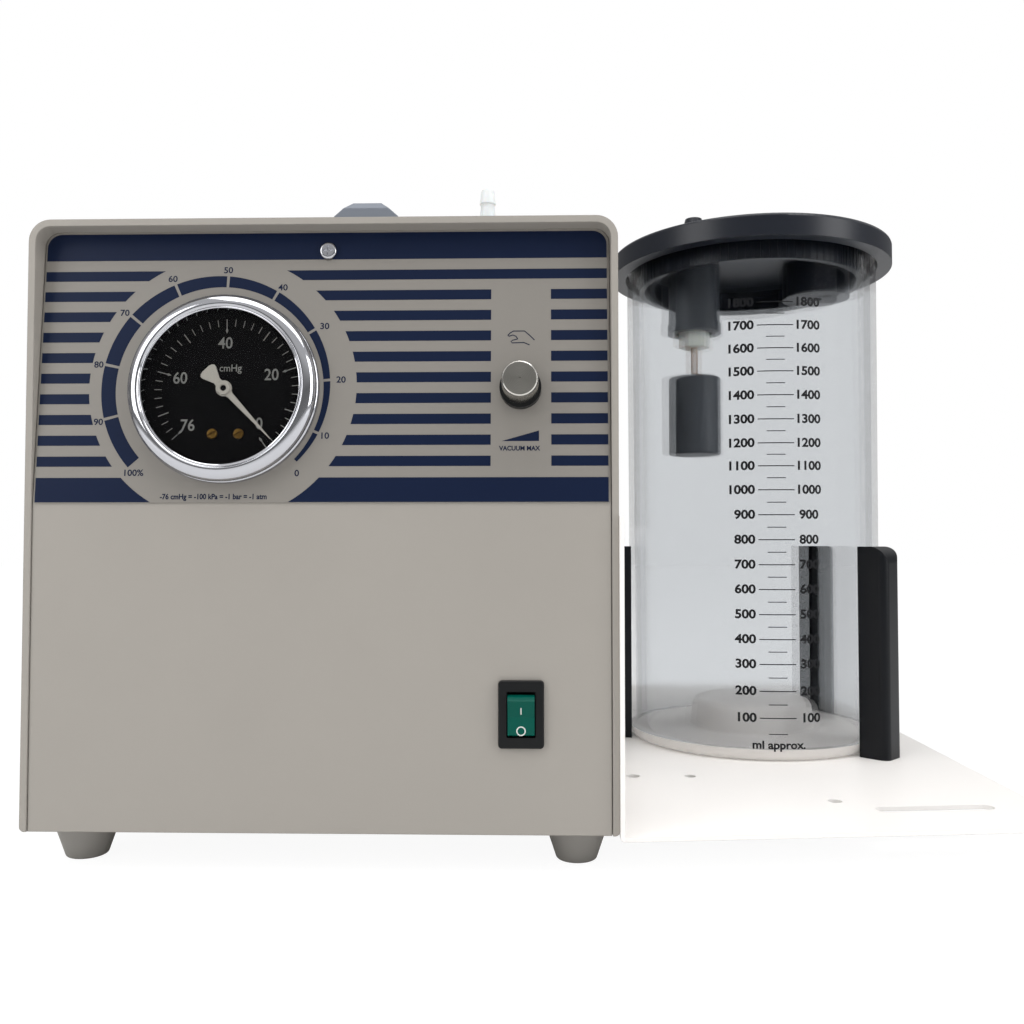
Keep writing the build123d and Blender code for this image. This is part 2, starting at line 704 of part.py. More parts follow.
def rocker_housing():
    """The switch's bezel and body, open in front where the rocker sits."""
    bezel = Box(ROCKER_BEZEL_W, ROCKER_BEZEL_H, ROCKER_BEZEL_T, align=BOTTOM)
    bezel = fillet(bezel.edges().filter_by(Axis.Z), 1.2)
    bezel = fillet(bezel.edges().group_by(Axis.Z)[-1], 0.6)
    body = Box(ROCKER_BODY_W, ROCKER_BODY_H, ROCKER_BODY_D, align=TOP)
    room_w = ROCKER_W + 2 * ROCKER_GAP
    room_h = 2 * (ROCKER_END_R + ROCKER_GAP)
    room_d = ROCKER_ROOM_D + 2 * ROCKER_BEZEL_T
    room = Pos(0, 0, -ROCKER_ROOM_D) * Box(room_w, room_h, room_d, align=BOTTOM)
    return on_front(ROCKER_X, ROCKER_Z) * (bezel + body - room)


def rocker_button():
    """The rocker: two flat faces that meet in a shallow valley over the pivot, round underneath."""
    half = ROCKER_H / 2
    depth = ROCKER_PIVOT_DEPTH
    rise = ROCKER_BEZEL_T + 1.0 + depth
    tip = half * tan(radians(ROCKER_TILT))
    outline = Polygon(
        (-half, 0), (half, 0), (half, rise + tip), (0, rise), (-half, rise + tip), align=None
    )
    outline &= Circle(ROCKER_END_R)
    outline += Circle(2.2)
    prism = Rot(0, 90, 0) * Rot(0, 0, 90) * extrude(outline, ROCKER_W / 2, both=True)
    return on_front(ROCKER_X, ROCKER_Z, -depth) * Rot(ROCKER_TILT, 0, 0) * prism


def rocker_tabs():
    """The four blade terminals behind the switch."""
    tabs = []
    for x in (-TAB_SIDE, TAB_SIDE):
        for z in (-TAB_RISE, TAB_RISE):
            blade = Box(TAB_T, TAB_W, TAB_L, align=TOP)
            tabs.append(on_front(ROCKER_X + x, ROCKER_Z + z, -ROCKER_BODY_D) * blade)
    return tabs


def handle():
    """The moulded carrying handle: a grip with chamfered shoulders on two posts."""
    half = HANDLE_W / 2
    top = HANDLE_TOP_W / 2
    shoulder = HANDLE_RISE - HANDLE_CHAMFER_H
    section = Polygon(
        (-half, 0), (half, 0), (half, shoulder), (top, HANDLE_RISE),
        (-top, HANDLE_RISE), (-half, shoulder), align=None,
    )
    bar = Pos(CABINET_W / 2, (CABINET_D - HANDLE_L) / 2, CABINET_H) * front_prism(section, HANDLE_L)
    ends = bar.edges().filter_by(Axis.X).group_by(Axis.Z)[-1]
    bar = chamfer(ends, HANDLE_END_CHAMFER)
    gap_h = HANDLE_RISE - HANDLE_GRIP_T
    gap_l = HANDLE_L - 2 * HANDLE_POST_L
    gap = Box(2 * HANDLE_W, gap_l, gap_h, align=BOTTOM)
    gap = fillet(gap.edges().filter_by(Axis.X).group_by(Axis.Z)[-1], HANDLE_GAP_R)
    bar -= Pos(CABINET_W / 2, CABINET_D / 2, CABINET_H) * gap
    for place in handle_screw_places():
        bar -= place * disc(HANDLE_SCREW_R, HANDLE_SCREW_GRIP + SCREW_END_GAP)
    return bar


def handle_screws():
    """Screws from inside the cabinet up into the handle's posts."""
    length = SHELL_T + HANDLE_SCREW_GRIP
    one = screw(HANDLE_SCREW_R + SCREW_R, SCREW_HEAD_H, HANDLE_SCREW_R - PRESS_CLEAR, length)
    return [place * Pos(0, 0, -SHELL_T) * Rot(180, 0, 0) * one for place in handle_screw_places()]


def barb(radius, height, bore):
    """A hose tail with three raised teeth."""
    outline = [(bore, 0), (radius * 0.86, 0)]
    pitch = height / 4
    for tooth in range(3):
        base = pitch * (tooth + 1)
        outline.append((radius * 0.86, base - pitch * 0.1))
        outline.append((radius, base))
        outline.append((radius * 0.86, base + pitch * 0.7))
    outline.append((radius * 0.8, height))
    outline.append((bore, height))
    return spin(outline)


def vacuum_port():
    """The hose tail on the cabinet's top, with its flange and threaded spigot."""
    flange = ring(PORT_FLANGE_R, PORT_BORE_R, PORT_FLANGE_H)
    tail = Pos(0, 0, PORT_FLANGE_H) * barb(PORT_R, PORT_H - PORT_FLANGE_H, PORT_BORE_R)
    spigot = Pos(0, 0, -PORT_SPIGOT_L) * ring(PORT_R, PORT_BORE_R, PORT_SPIGOT_L)
    return Pos(PORT_X, PORT_Y, CABINET_H) * (flange + tail + spigot)


def port_nut():
    nut = hexagon(PORT_NUT_AF, PORT_NUT_T) - disc(PORT_R, PORT_NUT_T)
    return Pos(PORT_X, PORT_Y, CABINET_H - SHELL_T - PORT_NUT_T) * nut


def tray():
    """The bent sheet on the cabinet's right side: an upright flange and the plate under the jar."""
    side = CABINET_W
    reach = side + TRAY_REACH
    outline = Polygon(
        (side, -TRAY_T), (reach, -TRAY_T), (reach, 0), (side + TRAY_T, 0),
        (side + TRAY_T, TRAY_FLANGE_H), (side, TRAY_FLANGE_H), align=None,
    )
    corner = outline.vertices().sort_by(Axis.X).group_by(Axis.Y)[0].sort_by(Axis.X)[0]
    outline = fillet(corner, TRAY_BEND_R * 0.6)
    sheet = Pos(0, TRAY_FRONT_Y, 0) * front_prism(outline, CABINET_D - TRAY_FRONT_Y)
    skew = tan(radians(TRAY_SKEW_DEG))
    plan = Polygon(
        (side, TRAY_FRONT_Y), (reach, TRAY_FRONT_Y + TRAY_REACH * skew), (reach, CABINET_D),
        (side, CABINET_D), align=None,
    )
    plan = fillet(plan.vertices().group_by(Axis.X)[-1], TRAY_CORNER_R)
    sheet &= Pos(0, 0, -2 * TRAY_T) * extrude(plan, TRAY_FLANGE_H + 4 * TRAY_T)
    for x, y, radius in TRAY_HOLES:
        sheet -= Pos(side + x, y, 0) * drill(radius, TRAY_T)
    slot_y = TRAY_FRONT_Y + TRAY_SLOT_X * skew + TRAY_SLOT_BACK
    slot = extrude(SlotOverall(TRAY_SLOT_L, TRAY_SLOT_W), 4 * TRAY_T, both=True)
    sheet -= Pos(side + TRAY_SLOT_X, slot_y, 0) * Rot(0, 0, TRAY_SKEW_DEG) * slot
    for place in tray_screw_places():
        sheet -= place * drill(SCREW_R + HOLE_CLEAR, TRAY_T)
    for place in post_places():
        sheet -= place * Pos(post_middle(), 0, 0) * drill(POST_SCREW_R + HOLE_CLEAR, TRAY_T)
    return sheet


def tray_screws():
    one = screw(SCREW_HEAD_R, SCREW_HEAD_H, SCREW_R, TRAY_T + SHELL_T + BASE_T + SCREW_GRIP)
    return [place * one for place in tray_screw_places()]


def jar_radius(z):
    """The jar's outside radius at a height above the tray."""
    return JAR_BASE_R + (JAR_TOP_R - JAR_BASE_R) * z / JAR_H


def post_face():
    return jar_radius(POST_H) + POST_GAP


def post_middle():
    return post_face() + POST_T / 2


def post(place):
    """One of the three upright posts round the jar, hollowed to follow its wall."""
    body = Pos(post_middle() - 1.0, 0, 0) * Box(POST_T + 2.0, POST_W, POST_H, align=BOTTOM)
    outer = body.edges().filter_by(Axis.Z).group_by(Axis.X)[-1]
    body = fillet(outer, POST_CORNER_R)
    body -= Pos(0, 0, -POST_H) * disc(post_face(), 3 * POST_H)
    top_cut = Pos(post_face() + POST_T, 0, POST_H) * Rot(90, 0, 0) * Box(
        2 * POST_TOP_R, 2 * POST_TOP_R, 2 * POST_W
    )
    rounding = Rot(90, 0, 0) * Cylinder(POST_TOP_R, 2 * POST_W)
    rounding = Pos(post_face() + POST_T - POST_TOP_R, 0, POST_H - POST_TOP_R) * rounding
    body -= top_cut - rounding
    body -= Pos(post_middle(), 0, 0) * disc(POST_SCREW_R, POST_SCREW_GRIP + SCREW_END_GAP)
    return place * body


def post_screws():
    length = TRAY_T + POST_SCREW_GRIP
    one = screw(SCREW_HEAD_R, SCREW_HEAD_H, POST_SCREW_R - PRESS_CLEAR, length)
    return [
        place * Pos(post_middle(), 0, -TRAY_T) * Rot(180, 0, 0) * one for place in post_places()
    ]


def on_tray(x=0.0, z=0.0):
    """A place over the tray, measured from the middle of the jar."""
    return Pos(JAR_X + x, JAR_Y, z)


def jar():
    """The clear, slightly tapered tube that stands on the base."""
    low = jar_radius(JAR_FLOOR_T)
    wall = spin(
        ((low - JAR_WALL, JAR_FLOOR_T), (low, JAR_FLOOR_T), (JAR_TOP_R, JAR_H), (JAR_TOP_R - JAR_WALL, JAR_H))
    )
    return on_tray(z=SEAT_GAP) * wall


def jar_base():
    """The clear base that the tube is bonded to, raised in the middle."""
    floor = disc(jar_radius(JAR_FLOOR_T), JAR_FLOOR_T)
    floor = fillet(floor.edges().group_by(Axis.Z)[0], JAR_CORNER_R)
    punt = spin(((0, 0), (PUNT_R + 3.0, 0), (PUNT_R + 1.5, JAR_FLOOR_T), (PUNT_R, PUNT_H), (0, PUNT_H)))
    punt = fillet(punt.edges().group_by(Axis.Z)[-1], 3.0)
    inner_r = PUNT_R - PUNT_WALL
    inner_h = PUNT_H - PUNT_WALL
    hollow = spin(((0, 0), (inner_r + 2.0, 0), (inner_r, inner_h), (0, inner_h)))
    hollow = fillet(hollow.edges().group_by(Axis.Z)[-1], 2.0)
    recess = disc(JAR_BASE_R - 2.2 * JAR_CORNER_R, FOOT_RING_H)
    return on_tray(z=SEAT_GAP) * (floor + punt - hollow - recess)


def lid_seat():
    """The height of the jar's mouth, where the gasket lies."""
    return SEAT_GAP + JAR_H + SEAT_GAP


def lid_under():
    """The underside of the lid's plate."""
    return lid_seat() + GASKET_T


def lid():
    """The moulded lid: plate, deep rim outside the jar, skirt inside it and the inlet's boss."""
    under = lid_under()
    top = under + LID_PLATE_T
    rim = Pos(0, 0, top - LID_RIM_H) * disc(LID_R, LID_RIM_H)
    rim = fillet(rim.edges().group_by(Axis.Z)[-1], 1.5)
    room = Pos(0, 0, top - LID_RIM_H) * disc(JAR_TOP_R + LID_RIM_CLEAR, LID_RIM_H - LID_PLATE_T)
    skirt_h = LID_SKIRT_DROP + LID_RIM_H - LID_PLATE_T
    skirt = Pos(0, 0, under - skirt_h) * ring(LID_SKIRT_R, LID_SKIRT_R - LID_SKIRT_T, skirt_h)
    boss = Pos(INLET_OFFSET, 0, under - INLET_BOSS_DROP) * disc(INLET_BOSS_R, INLET_BOSS_DROP)
    body = rim - room + skirt + boss
    inlet = disc(LID_PORT_BORE_R, 3 * INLET_BOSS_DROP)
    body -= Pos(INLET_OFFSET, 0, under - 2 * INLET_BOSS_DROP) * inlet
    for x in (INLET_OFFSET, FLOAT_OFFSET):
        body -= Pos(x, 0, top - LID_PORT_SPIGOT_H) * disc(LID_PORT_SPIGOT_R, 2 * LID_PORT_SPIGOT_H)
    body -= Pos(FLOAT_OFFSET, 0, under - LID_PLATE_T) * disc(LID_PORT_BORE_R, 3 * LID_PLATE_T)
    return on_tray() * body


def lid_gasket():
    outer = JAR_TOP_R
    return on_tray(z=lid_seat()) * ring(outer, outer - GASKET_W, GASKET_T)


def lid_port(offset):
    """A hose tail on the lid, with a spigot that is pressed into the plate."""
    spigot = ring(LID_PORT_SPIGOT_R, LID_PORT_BORE_R, LID_PORT_SPIGOT_H)
    flange = Pos(0, 0, LID_PORT_SPIGOT_H) * ring(LID_PORT_FLANGE_R, LID_PORT_BORE_R, LID_PORT_FLANGE_H)
    height = LID_PORT_H - LID_PORT_FLANGE_H
    tail = Pos(0, 0, LID_PORT_SPIGOT_H + LID_PORT_FLANGE_H) * barb(LID_PORT_R, height, LID_PORT_BORE_R)
    z = lid_under() + LID_PLATE_T - LID_PORT_SPIGOT_H
    return on_tray(offset, z) * (spigot + flange + tail)


def socket_end():
    """The lower end of the float valve's socket."""
    return lid_under() - SOCKET_DROP


def float_place(z):
    return on_tray(FLOAT_OFFSET, z)


def float_socket():
    """The tube under the lid that guides the float's rod, with a collar at its lower end."""
    body = disc(SOCKET_R, SOCKET_DROP) + disc(SOCKET_COLLAR_R, SOCKET_COLLAR_H)
    body -= disc(SOCKET_BORE_R, SOCKET_DROP)
    body -= disc(SOCKET_MOUTH_R, SOCKET_COLLAR_H)
    return float_place(socket_end()) * body


def float_nut():
    """The white nut in the socket's mouth that the rod slides through."""
    flange_top = SOCKET_COLLAR_H
    flange = Pos(0, 0, flange_top - FLOAT_NUT_H) * hexagon(2 * FLOAT_NUT_R, FLOAT_NUT_H)
    neck = Pos(0, 0, flange_top) * disc(SOCKET_BORE_R, FLOAT_NUT_NECK_H)
    body = flange + neck - Cylinder(FLOAT_ROD_R + 0.08, 6 * FLOAT_NUT_H)
    return float_place(socket_end()) * body


def nut_bottom():
    return socket_end() + SOCKET_COLLAR_H - FLOAT_NUT_H


def nut_top():
    return socket_end() + SOCKET_COLLAR_H + FLOAT_NUT_NECK_H


def float_body():
    """The hollow float, closed at both ends."""
    body = disc(FLOAT_R, FLOAT_H)
    body = fillet(body.edges().filter_by(GeomType.CIRCLE), 1.0)
    body -= Pos(0, 0, FLOAT_H - ROD_SEAT_L) * disc(FLOAT_ROD_R, ROD_SEAT_L)
    return float_place(nut_bottom() - FLOAT_GAP - FLOAT_H) * body


def rod_end():
    """The rod's upper end, which leaves the float its travel before the seal meets the lid."""
    return lid_under() - SEAT_GAP - FLOAT_TRAVEL - FLOAT_SEAL_T


def float_rod():
    """The rod from the float up through the nut, with the shoulder that rests on the nut."""
    bottom = nut_bottom() - FLOAT_GAP - ROD_SEAT_L
    rod = Pos(0, 0, bottom) * disc(FLOAT_ROD_R, rod_end() - bottom)
    stop = Pos(0, 0, nut_top() + SEAT_GAP) * disc(FLOAT_SEAL_R, ROD_STOP_T)
    return float_place(0) * (rod + stop)


def float_seal():
    """The soft pad on the rod's end that shuts the outlet when the jar is full."""
    return float_place(rod_end()) * disc(FLOAT_SEAL_R, FLOAT_SEAL_T)


def motor():
    """The motor's can between its two end bells."""
    can = Rot(-90, 0, 0) * ring(MOTOR_R, SHAFT_R + RUN_CLEAR, MOTOR_L)
    return Pos(PUMP_X, MOTOR_Y, PUMP_Z) * can


def crankcase():
    """The housing in front of the motor, open at the top for the cylinder and in front."""
    width = CRANKCASE_W
    block = Box(width, CRANKCASE_L, width, align=(Align.CENTER, Align.MAX, Align.CENTER))
    block = fillet(block.edges().filter_by(Axis.Y), 8.0)
    inner = width - 2 * CRANKCASE_WALL
    inner_l = CRANKCASE_L - CRANKCASE_WALL
    room = Box(inner, inner_l, inner, align=(Align.CENTER, Align.MAX, Align.CENTER))
    block -= Pos(0, -CRANKCASE_WALL, 0) * room
    block -= Rot(90, 0, 0) * Cylinder(SHAFT_R + 1.0, 4 * CRANKCASE_WALL)
    block -= Pos(0, -CRANKCASE_L / 2, 0) * disc(CYLINDER_BORE_R, width)
    return Pos(PUMP_X, MOTOR_Y, PUMP_Z) * block


def crank():
    """The motor's shaft with its rotor bearings and the eccentric in the crankcase."""
    shaft_l = SHAFT_FRONT_L + MOTOR_L + SHAFT_REAR_L
    shaft = Pos(0, -SHAFT_FRONT_L, 0) * Rot(-90, 0, 0) * disc(SHAFT_R, shaft_l)
    middle = -CRANKCASE_L / 2
    disc_part = Pos(0, middle + ECCENTRIC_L / 2, -STROKE_HALF) * Rot(90, 0, 0) * disc(
        ECCENTRIC_R, ECCENTRIC_L
    )
    return Pos(PUMP_X, MOTOR_Y, PUMP_Z) * (shaft + disc_part)


def piston():
    """The connecting rod and the piston in one piece, its eye wide enough for the eccentric."""
    eye_in = ECCENTRIC_R + 2 * STROKE_HALF + 0.6
    eye_out = eye_in + ROD_EYE_WALL
    eye = Pos(0, ROD_EYE_L / 2, 0) * Rot(90, 0, 0) * ring(eye_out, eye_in, ROD_EYE_L)
    crown = CRANKCASE_W / 2 + CYLINDER_L - PISTON_T - STROKE_HALF - 1.0
    neck_h = crown - eye_out + 1.0
    neck = Pos(0, 0, eye_out - 1.0) * Box(8.0, ROD_EYE_L, neck_h, align=BOTTOM)
    head = Pos(0, 0, crown) * disc(CYLINDER_BORE_R - PISTON_CLEAR, PISTON_T)
    return Pos(PUMP_X, MOTOR_Y - CRANKCASE_L / 2, PUMP_Z) * (eye + neck + head)


def cylinder():
    """The ribbed barrel over the crankcase."""
    barrel = ring(CYLINDER_R, CYLINDER_BORE_R, CYLINDER_L)
    for index in range(4):
        z = 6.0 + index * 6.0
        barrel += Pos(0, 0, z) * ring(CYLINDER_R + 4.0, CYLINDER_R - 1.0, 2.0)
    return Pos(PUMP_X, MOTOR_Y - CRANKCASE_L / 2, PUMP_Z + CRANKCASE_W / 2) * barrel


def cylinder_head():
    """The finned head over the valve plate."""
    block = Box(HEAD_W, HEAD_W - 6.0, HEAD_H, align=BOTTOM)
    block = fillet(block.edges().filter_by(Axis.Z), 5.0)
    gap_count = HEAD_FINS - 1
    gap_w = (HEAD_W - 12.0 - HEAD_FINS * HEAD_FIN_T) / gap_count
    for index in range(gap_count):
        x = -HEAD_W / 2 + 6.0 + HEAD_FIN_T + gap_w / 2 + index * (gap_w + HEAD_FIN_T)
        block -= Pos(x, 0, HEAD_H * 0.4) * Box(gap_w, HEAD_W, HEAD_H, align=BOTTOM)
    z = PUMP_Z + CRANKCASE_W / 2 + CYLINDER_L
    return Pos(PUMP_X, MOTOR_Y - CRANKCASE_L / 2, z) * block


def fan():
    """The cooling fan on the shaft's rear end."""
    hub = disc(FAN_HUB_R, FAN_L)
    wheel = hub
    for index in range(FAN_BLADES):
        blade = Pos(FAN_R / 2 + 2.0, 0, FAN_L / 2) * Rot(35, 0, 0) * Box(FAN_R - 4.0, 1.2, FAN_L - 2.0)
        wheel += Rot(0, 0, index * 360 / FAN_BLADES) * blade
    wheel -= disc(SHAFT_R, FAN_L)
    return Pos(PUMP_X, MOTOR_Y + MOTOR_L + 8.0, PUMP_Z) * Rot(-90, 0, 0) * wheel


def cradle():
    """The bracket under the motor, hollowed to its can, on the rubber mounts."""
    bottom = BASE_T + RUBBER_H
    length = MOTOR_L * 0.9
    width = 2 * RUBBER_SPREAD_X + 2 * RUBBER_R + 4.0
    middle_y = MOTOR_Y + MOTOR_L / 2
    plate = Pos(PUMP_X, middle_y, bottom) * Box(width, length, CRADLE_T, align=BOTTOM)
    saddle_h = PUMP_Z - bottom - MOTOR_R * 0.6
    for y in (middle_y - length / 3, middle_y + length / 3):
        plate += Pos(PUMP_X, y, bottom) * Box(CRADLE_W * 0.7, 10.0, saddle_h, align=BOTTOM)
    can = Pos(PUMP_X, MOTOR_Y - 1.0, PUMP_Z) * Rot(-90, 0, 0) * disc(MOTOR_R, MOTOR_L + 2.0)
    return plate - can


def rubber_mounts():
    one = disc(RUBBER_R, RUBBER_H)
    return [place * one for place in rubber_places()]


def mains_inlet():
    """The socket for a loose mains lead, with its flange on the rear panel."""
    flange = Box(INLET_FLANGE_W, INLET_FLANGE_H, INLET_FLANGE_T, align=BOTTOM)
    flange = fillet(flange.edges().filter_by(Axis.Z), 2.0)
    body = Box(INLET_W, INLET_H, INLET_DEPTH, align=TOP)
    depth = INLET_DEPTH - INLET_WALL
    room = Pos(0, 0, -depth) * Box(
        INLET_W - 2 * INLET_WALL, INLET_H - 2 * INLET_WALL, depth + 2 * INLET_FLANGE_T, align=BOTTOM
    )
    shape = flange + body - room
    for x, z in pin_places():
        shape -= Pos(x, z, -INLET_DEPTH) * Box(PIN_T, PIN_W, 4 * INLET_WALL)
    return on_rear(INLET_X, INLET_Z) * shape


def pin_places():
    return ((-PIN_PITCH, -PIN_RISE / 2), (0, PIN_RISE / 2), (PIN_PITCH, -PIN_RISE / 2))


def inlet_pins():
    length = INLET_DEPTH + 6.0
    blade = Pos(0, 0, -INLET_DEPTH - 8.0) * Box(PIN_T, PIN_W, length, align=BOTTOM)
    return [on_rear(INLET_X, INLET_Z) * Pos(x, z, 0) * blade for x, z in pin_places()]


def silencer():
    """The exhaust silencer, screwed through the rear panel."""
    body = Pos(0, 0, SILENCER_PROUD - SILENCER_L) * disc(SILENCER_R, SILENCER_L)
    body = fillet(body.edges().group_by(Axis.Z)[-1], 2.0)
    return on_rear(SILENCER_X, SILENCER_Z) * body


def build():
    """Every node of the pump, by name."""
    nodes = {
        "shell": shell(),
        "front_panel": front_panel(),
        "control_label": control_label(),
        "panel_screw": panel_screw(),
        "rear_panel": rear_panel(),
        "base_plate": base_plate(),
        "foot_screws": foot_screws(),
        "shell_screws": shell_screws(),
        "gauge_case": gauge_case(),
        "gauge_ring": gauge_ring(),
        "gauge_lens": gauge_lens(),
        "gauge_dial": gauge_dial(),
        "gauge_movement": gauge_movement(),
        "dial_screws": dial_screws(),
        "bourdon_tube": bourdon_tube(),
        "gauge_pointer": gauge_pointer(),
        "valve_body": valve_body(),
        "valve_nut": valve_nut(),
        "valve_knob": valve_knob(),
        "valve_needle": valve_needle(),
        "rocker_housing": rocker_housing(),
        "rocker_button": rocker_button(),
        "rocker_tabs": rocker_tabs(),
        "handle": handle(),
        "handle_screws": handle_screws(),
        "vacuum_port": vacuum_port(),
        "port_nut": port_nut(),
        "jar_tray": tray(),
        "tray_screws": tray_screws(),
        "post_screws": post_screws(),
        "jar": jar(),
        "jar_base": jar_base(),
        "lid": lid(),
        "lid_gasket": lid_gasket(),
        "lid_inlet_port": lid_port(INLET_OFFSET),
        "lid_vacuum_port": lid_port(FLOAT_OFFSET),
        "float_socket": float_socket(),
        "float_nut": float_nut(),
        "float": float_body(),
        "float_rod": float_rod(),
        "float_seal": float_seal(),
        "motor": motor(),
        "crankcase": crankcase(),
        "crank": crank(),
        "piston": piston(),
        "cylinder": cylinder(),
        "cylinder_head": cylinder_head(),
        "fan": fan(),
        "motor_cradle": cradle(),
        "rubber_mounts": rubber_mounts(),
        "mains_inlet": mains_inlet(),
        "inlet_pins": inlet_pins(),
        "silencer": silencer(),
    }
    feet = ("foot_front_left", "foot_rear_left", "foot_front_right", "foot_rear_right")
    for name, place in zip(feet, foot_places()):
        nodes[name] = place * foot()
    for name, place in zip(("post_left", "post_front", "post_rear"), post_places()):
        nodes[name] = post(place)
    return nodes


def whole(node):
    """One shape for a node that is a single solid or a group of them."""
    if isinstance(node, list):
        return Compound(children=[piece.solid() for piece in node])
    return node


def front_reach():
    """How far the regulator's knob stands in front of the cabinet's front edge."""
    out = LABEL_T + VALVE_COLLAR_H + SEAT_GAP + KNOB_H
    up = VALVE_UP * sin(radians(LEAN_DEG))
    return out * cos(radians(LEAN_DEG)) - up - PANEL_INSET + KNOB_R * sin(radians(LEAN_DEG))


def origin():
    """The point under the middle of the whole pump, at foot level."""
    right = CABINET_W + TRAY_REACH
    back = CABINET_D - PANEL_INSET + SILENCER_PROUD
    return ((right - SCREW_HEAD_H) / 2, (back - front_reach()) / 2, -FOOT_H)


def main():
    os.makedirs("parts", exist_ok=True)
    x, y, z = origin()
    for name, node in build().items():
        export_step(Pos(-x, -y, -z) * whole(node), f"parts/{name}.step")


if __name__ == "__main__":
    main()
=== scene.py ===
"""The bench suction pump's looks: materials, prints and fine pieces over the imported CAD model.

Sizes are in millimetres from the cabinet's lower front left corner, and at() turns them into the
frame's metres. Prints are flat or wrapped sheets just over the surface.
"""

import math

import bmesh
import bpy
from mathutils import Matrix, Vector


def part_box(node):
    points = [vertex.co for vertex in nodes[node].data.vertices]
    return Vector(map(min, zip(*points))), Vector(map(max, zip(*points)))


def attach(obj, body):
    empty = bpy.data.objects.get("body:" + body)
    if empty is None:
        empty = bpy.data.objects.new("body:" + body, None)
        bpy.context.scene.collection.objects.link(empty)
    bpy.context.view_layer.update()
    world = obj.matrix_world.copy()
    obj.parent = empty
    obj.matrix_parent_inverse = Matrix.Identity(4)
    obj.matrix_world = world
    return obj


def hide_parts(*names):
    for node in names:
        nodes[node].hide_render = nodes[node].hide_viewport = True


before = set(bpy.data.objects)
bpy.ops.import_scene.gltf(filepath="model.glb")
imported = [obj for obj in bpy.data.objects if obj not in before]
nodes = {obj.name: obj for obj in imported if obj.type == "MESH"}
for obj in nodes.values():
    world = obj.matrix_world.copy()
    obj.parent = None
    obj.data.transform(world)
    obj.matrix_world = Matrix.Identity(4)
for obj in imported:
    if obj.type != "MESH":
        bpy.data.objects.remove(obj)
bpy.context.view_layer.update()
scene = bpy.context.scene

MM = 0.001
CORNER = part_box("shell")[0]
FOLD_Z = 104.25
CONTROL_H = 91.75
PANEL_INSET = 0.5
LEAN = math.atan2(6.4, CONTROL_H)
LEAN_SIN, LEAN_COS = math.sin(LEAN), math.cos(LEAN)
GAUGE = (63.5, 36.9)
VALVE = (158.9, 36.6)
ROCKER_SWITCH = (159.1, 37.7)
LABEL_T = 0.4
JAR_X, JAR_Y, SEAT_GAP = 266.5, 159.0, 0.1
PRINT_LIFT = 0.03


def at(x, y, z):
    return CORNER + Vector((x, y, z)) * MM


def moved(x, y, z=0.0):
    return Matrix.Translation((x, y, z))


def turned(angle, axis="Z"):
    return Matrix.Rotation(angle, 4, axis)


def placed(origin, x_axis, y_axis):
    """A matrix from millimetres on a face to the frame's metres."""
    x, y = Vector(x_axis), Vector(y_axis)
    turn = Matrix((x, y, x.cross(y))).transposed().to_4x4()
    return Matrix.Translation(origin) @ turn @ Matrix.Scale(MM, 4)


PANEL = placed(at(0, PANEL_INSET, FOLD_Z), (1, 0, 0), (0, LEAN_SIN, LEAN_COS))
FRONT = placed(at(0, PANEL_INSET, 0), (1, 0, 0), (0, 0, 1))
JAR = placed(at(0, 0, 0), (1, 0, 0), (0, 1, 0)) @ moved(JAR_X, JAR_Y, SEAT_GAP)

# Materials

PATCH_DETAIL, GRAIN_DETAIL, BEVEL_SAMPLES = 4, 3, 4
TURNED_BUMP, TURNED_DEPTH = 0.35, 0.03


def colour(red, green, blue):
    """A colour as it shows on a screen, 0 to 255, as linear light."""

    def linear(value):
        value /= 255
        return value / 12.92 if value <= 0.04045 else ((value + 0.055) / 1.055) ** 2.4

    return (linear(red), linear(green), linear(blue), 1.0)


def material(
    name, tint, rough, metal=0.0, vary=0.05, patch=30.0, grain=900.0, bump=0.05, depth=0.02,
    rough_vary=0.05, edge=0.0, **sockets
):
    """A surface with mottled colour, uneven gloss and a fine grain in its normals."""
    made = bpy.data.materials.new(name)
    made.use_nodes = True
    tree = made.node_tree
    shader = tree.nodes["Principled BSDF"]
    add, join = tree.nodes.new, tree.links.new
    where = add("ShaderNodeTexCoord")
    patches = add("ShaderNodeTexNoise")
    patches.inputs["Scale"].default_value = patch
    patches.inputs["Detail"].default_value = PATCH_DETAIL
    join(where.outputs["Object"], patches.inputs["Vector"])
    mix = add("ShaderNodeMix")
    mix.data_type = "RGBA"
    mix.inputs["A"].default_value = (*(c * (1 - vary) for c in tint[:3]), 1)
    mix.inputs["B"].default_value = (*(min(1.0, c * (1 + vary)) for c in tint[:3]), 1)
    join(patches.outputs["Fac"], mix.inputs["Factor"])
    join(mix.outputs["Result"], shader.inputs["Base Color"])
    fine = add("ShaderNodeTexNoise")
    fine.inputs["Scale"].default_value = grain
    fine.inputs["Detail"].default_value = GRAIN_DETAIL
    join(where.outputs["Object"], fine.inputs["Vector"])
    gloss = add("ShaderNodeMapRange")
    gloss.inputs["To Min"].default_value = max(0.0, rough - rough_vary)
    gloss.inputs["To Max"].default_value = min(1.0, rough + rough_vary)
    join(fine.outputs["Fac"], gloss.inputs["Value"])
    join(gloss.outputs["Result"], shader.inputs["Roughness"])
    bumps = add("ShaderNodeBump")
    bumps.inputs["Strength"].default_value = bump
    bumps.inputs["Distance"].default_value = depth * MM
    join(fine.outputs["Fac"], bumps.inputs["Height"])
    if edge:
        rounding = add("ShaderNodeBevel")
        rounding.samples = BEVEL_SAMPLES
        rounding.inputs["Radius"].default_value = edge * MM
        join(rounding.outputs["Normal"], bumps.inputs["Normal"])
    join(bumps.outputs["Normal"], shader.inputs["Normal"])
    shader.inputs["Metallic"].default_value = metal
    for socket, value in sockets.items():
        shader.inputs[socket.replace("_", " ")].default_value = value
    return made


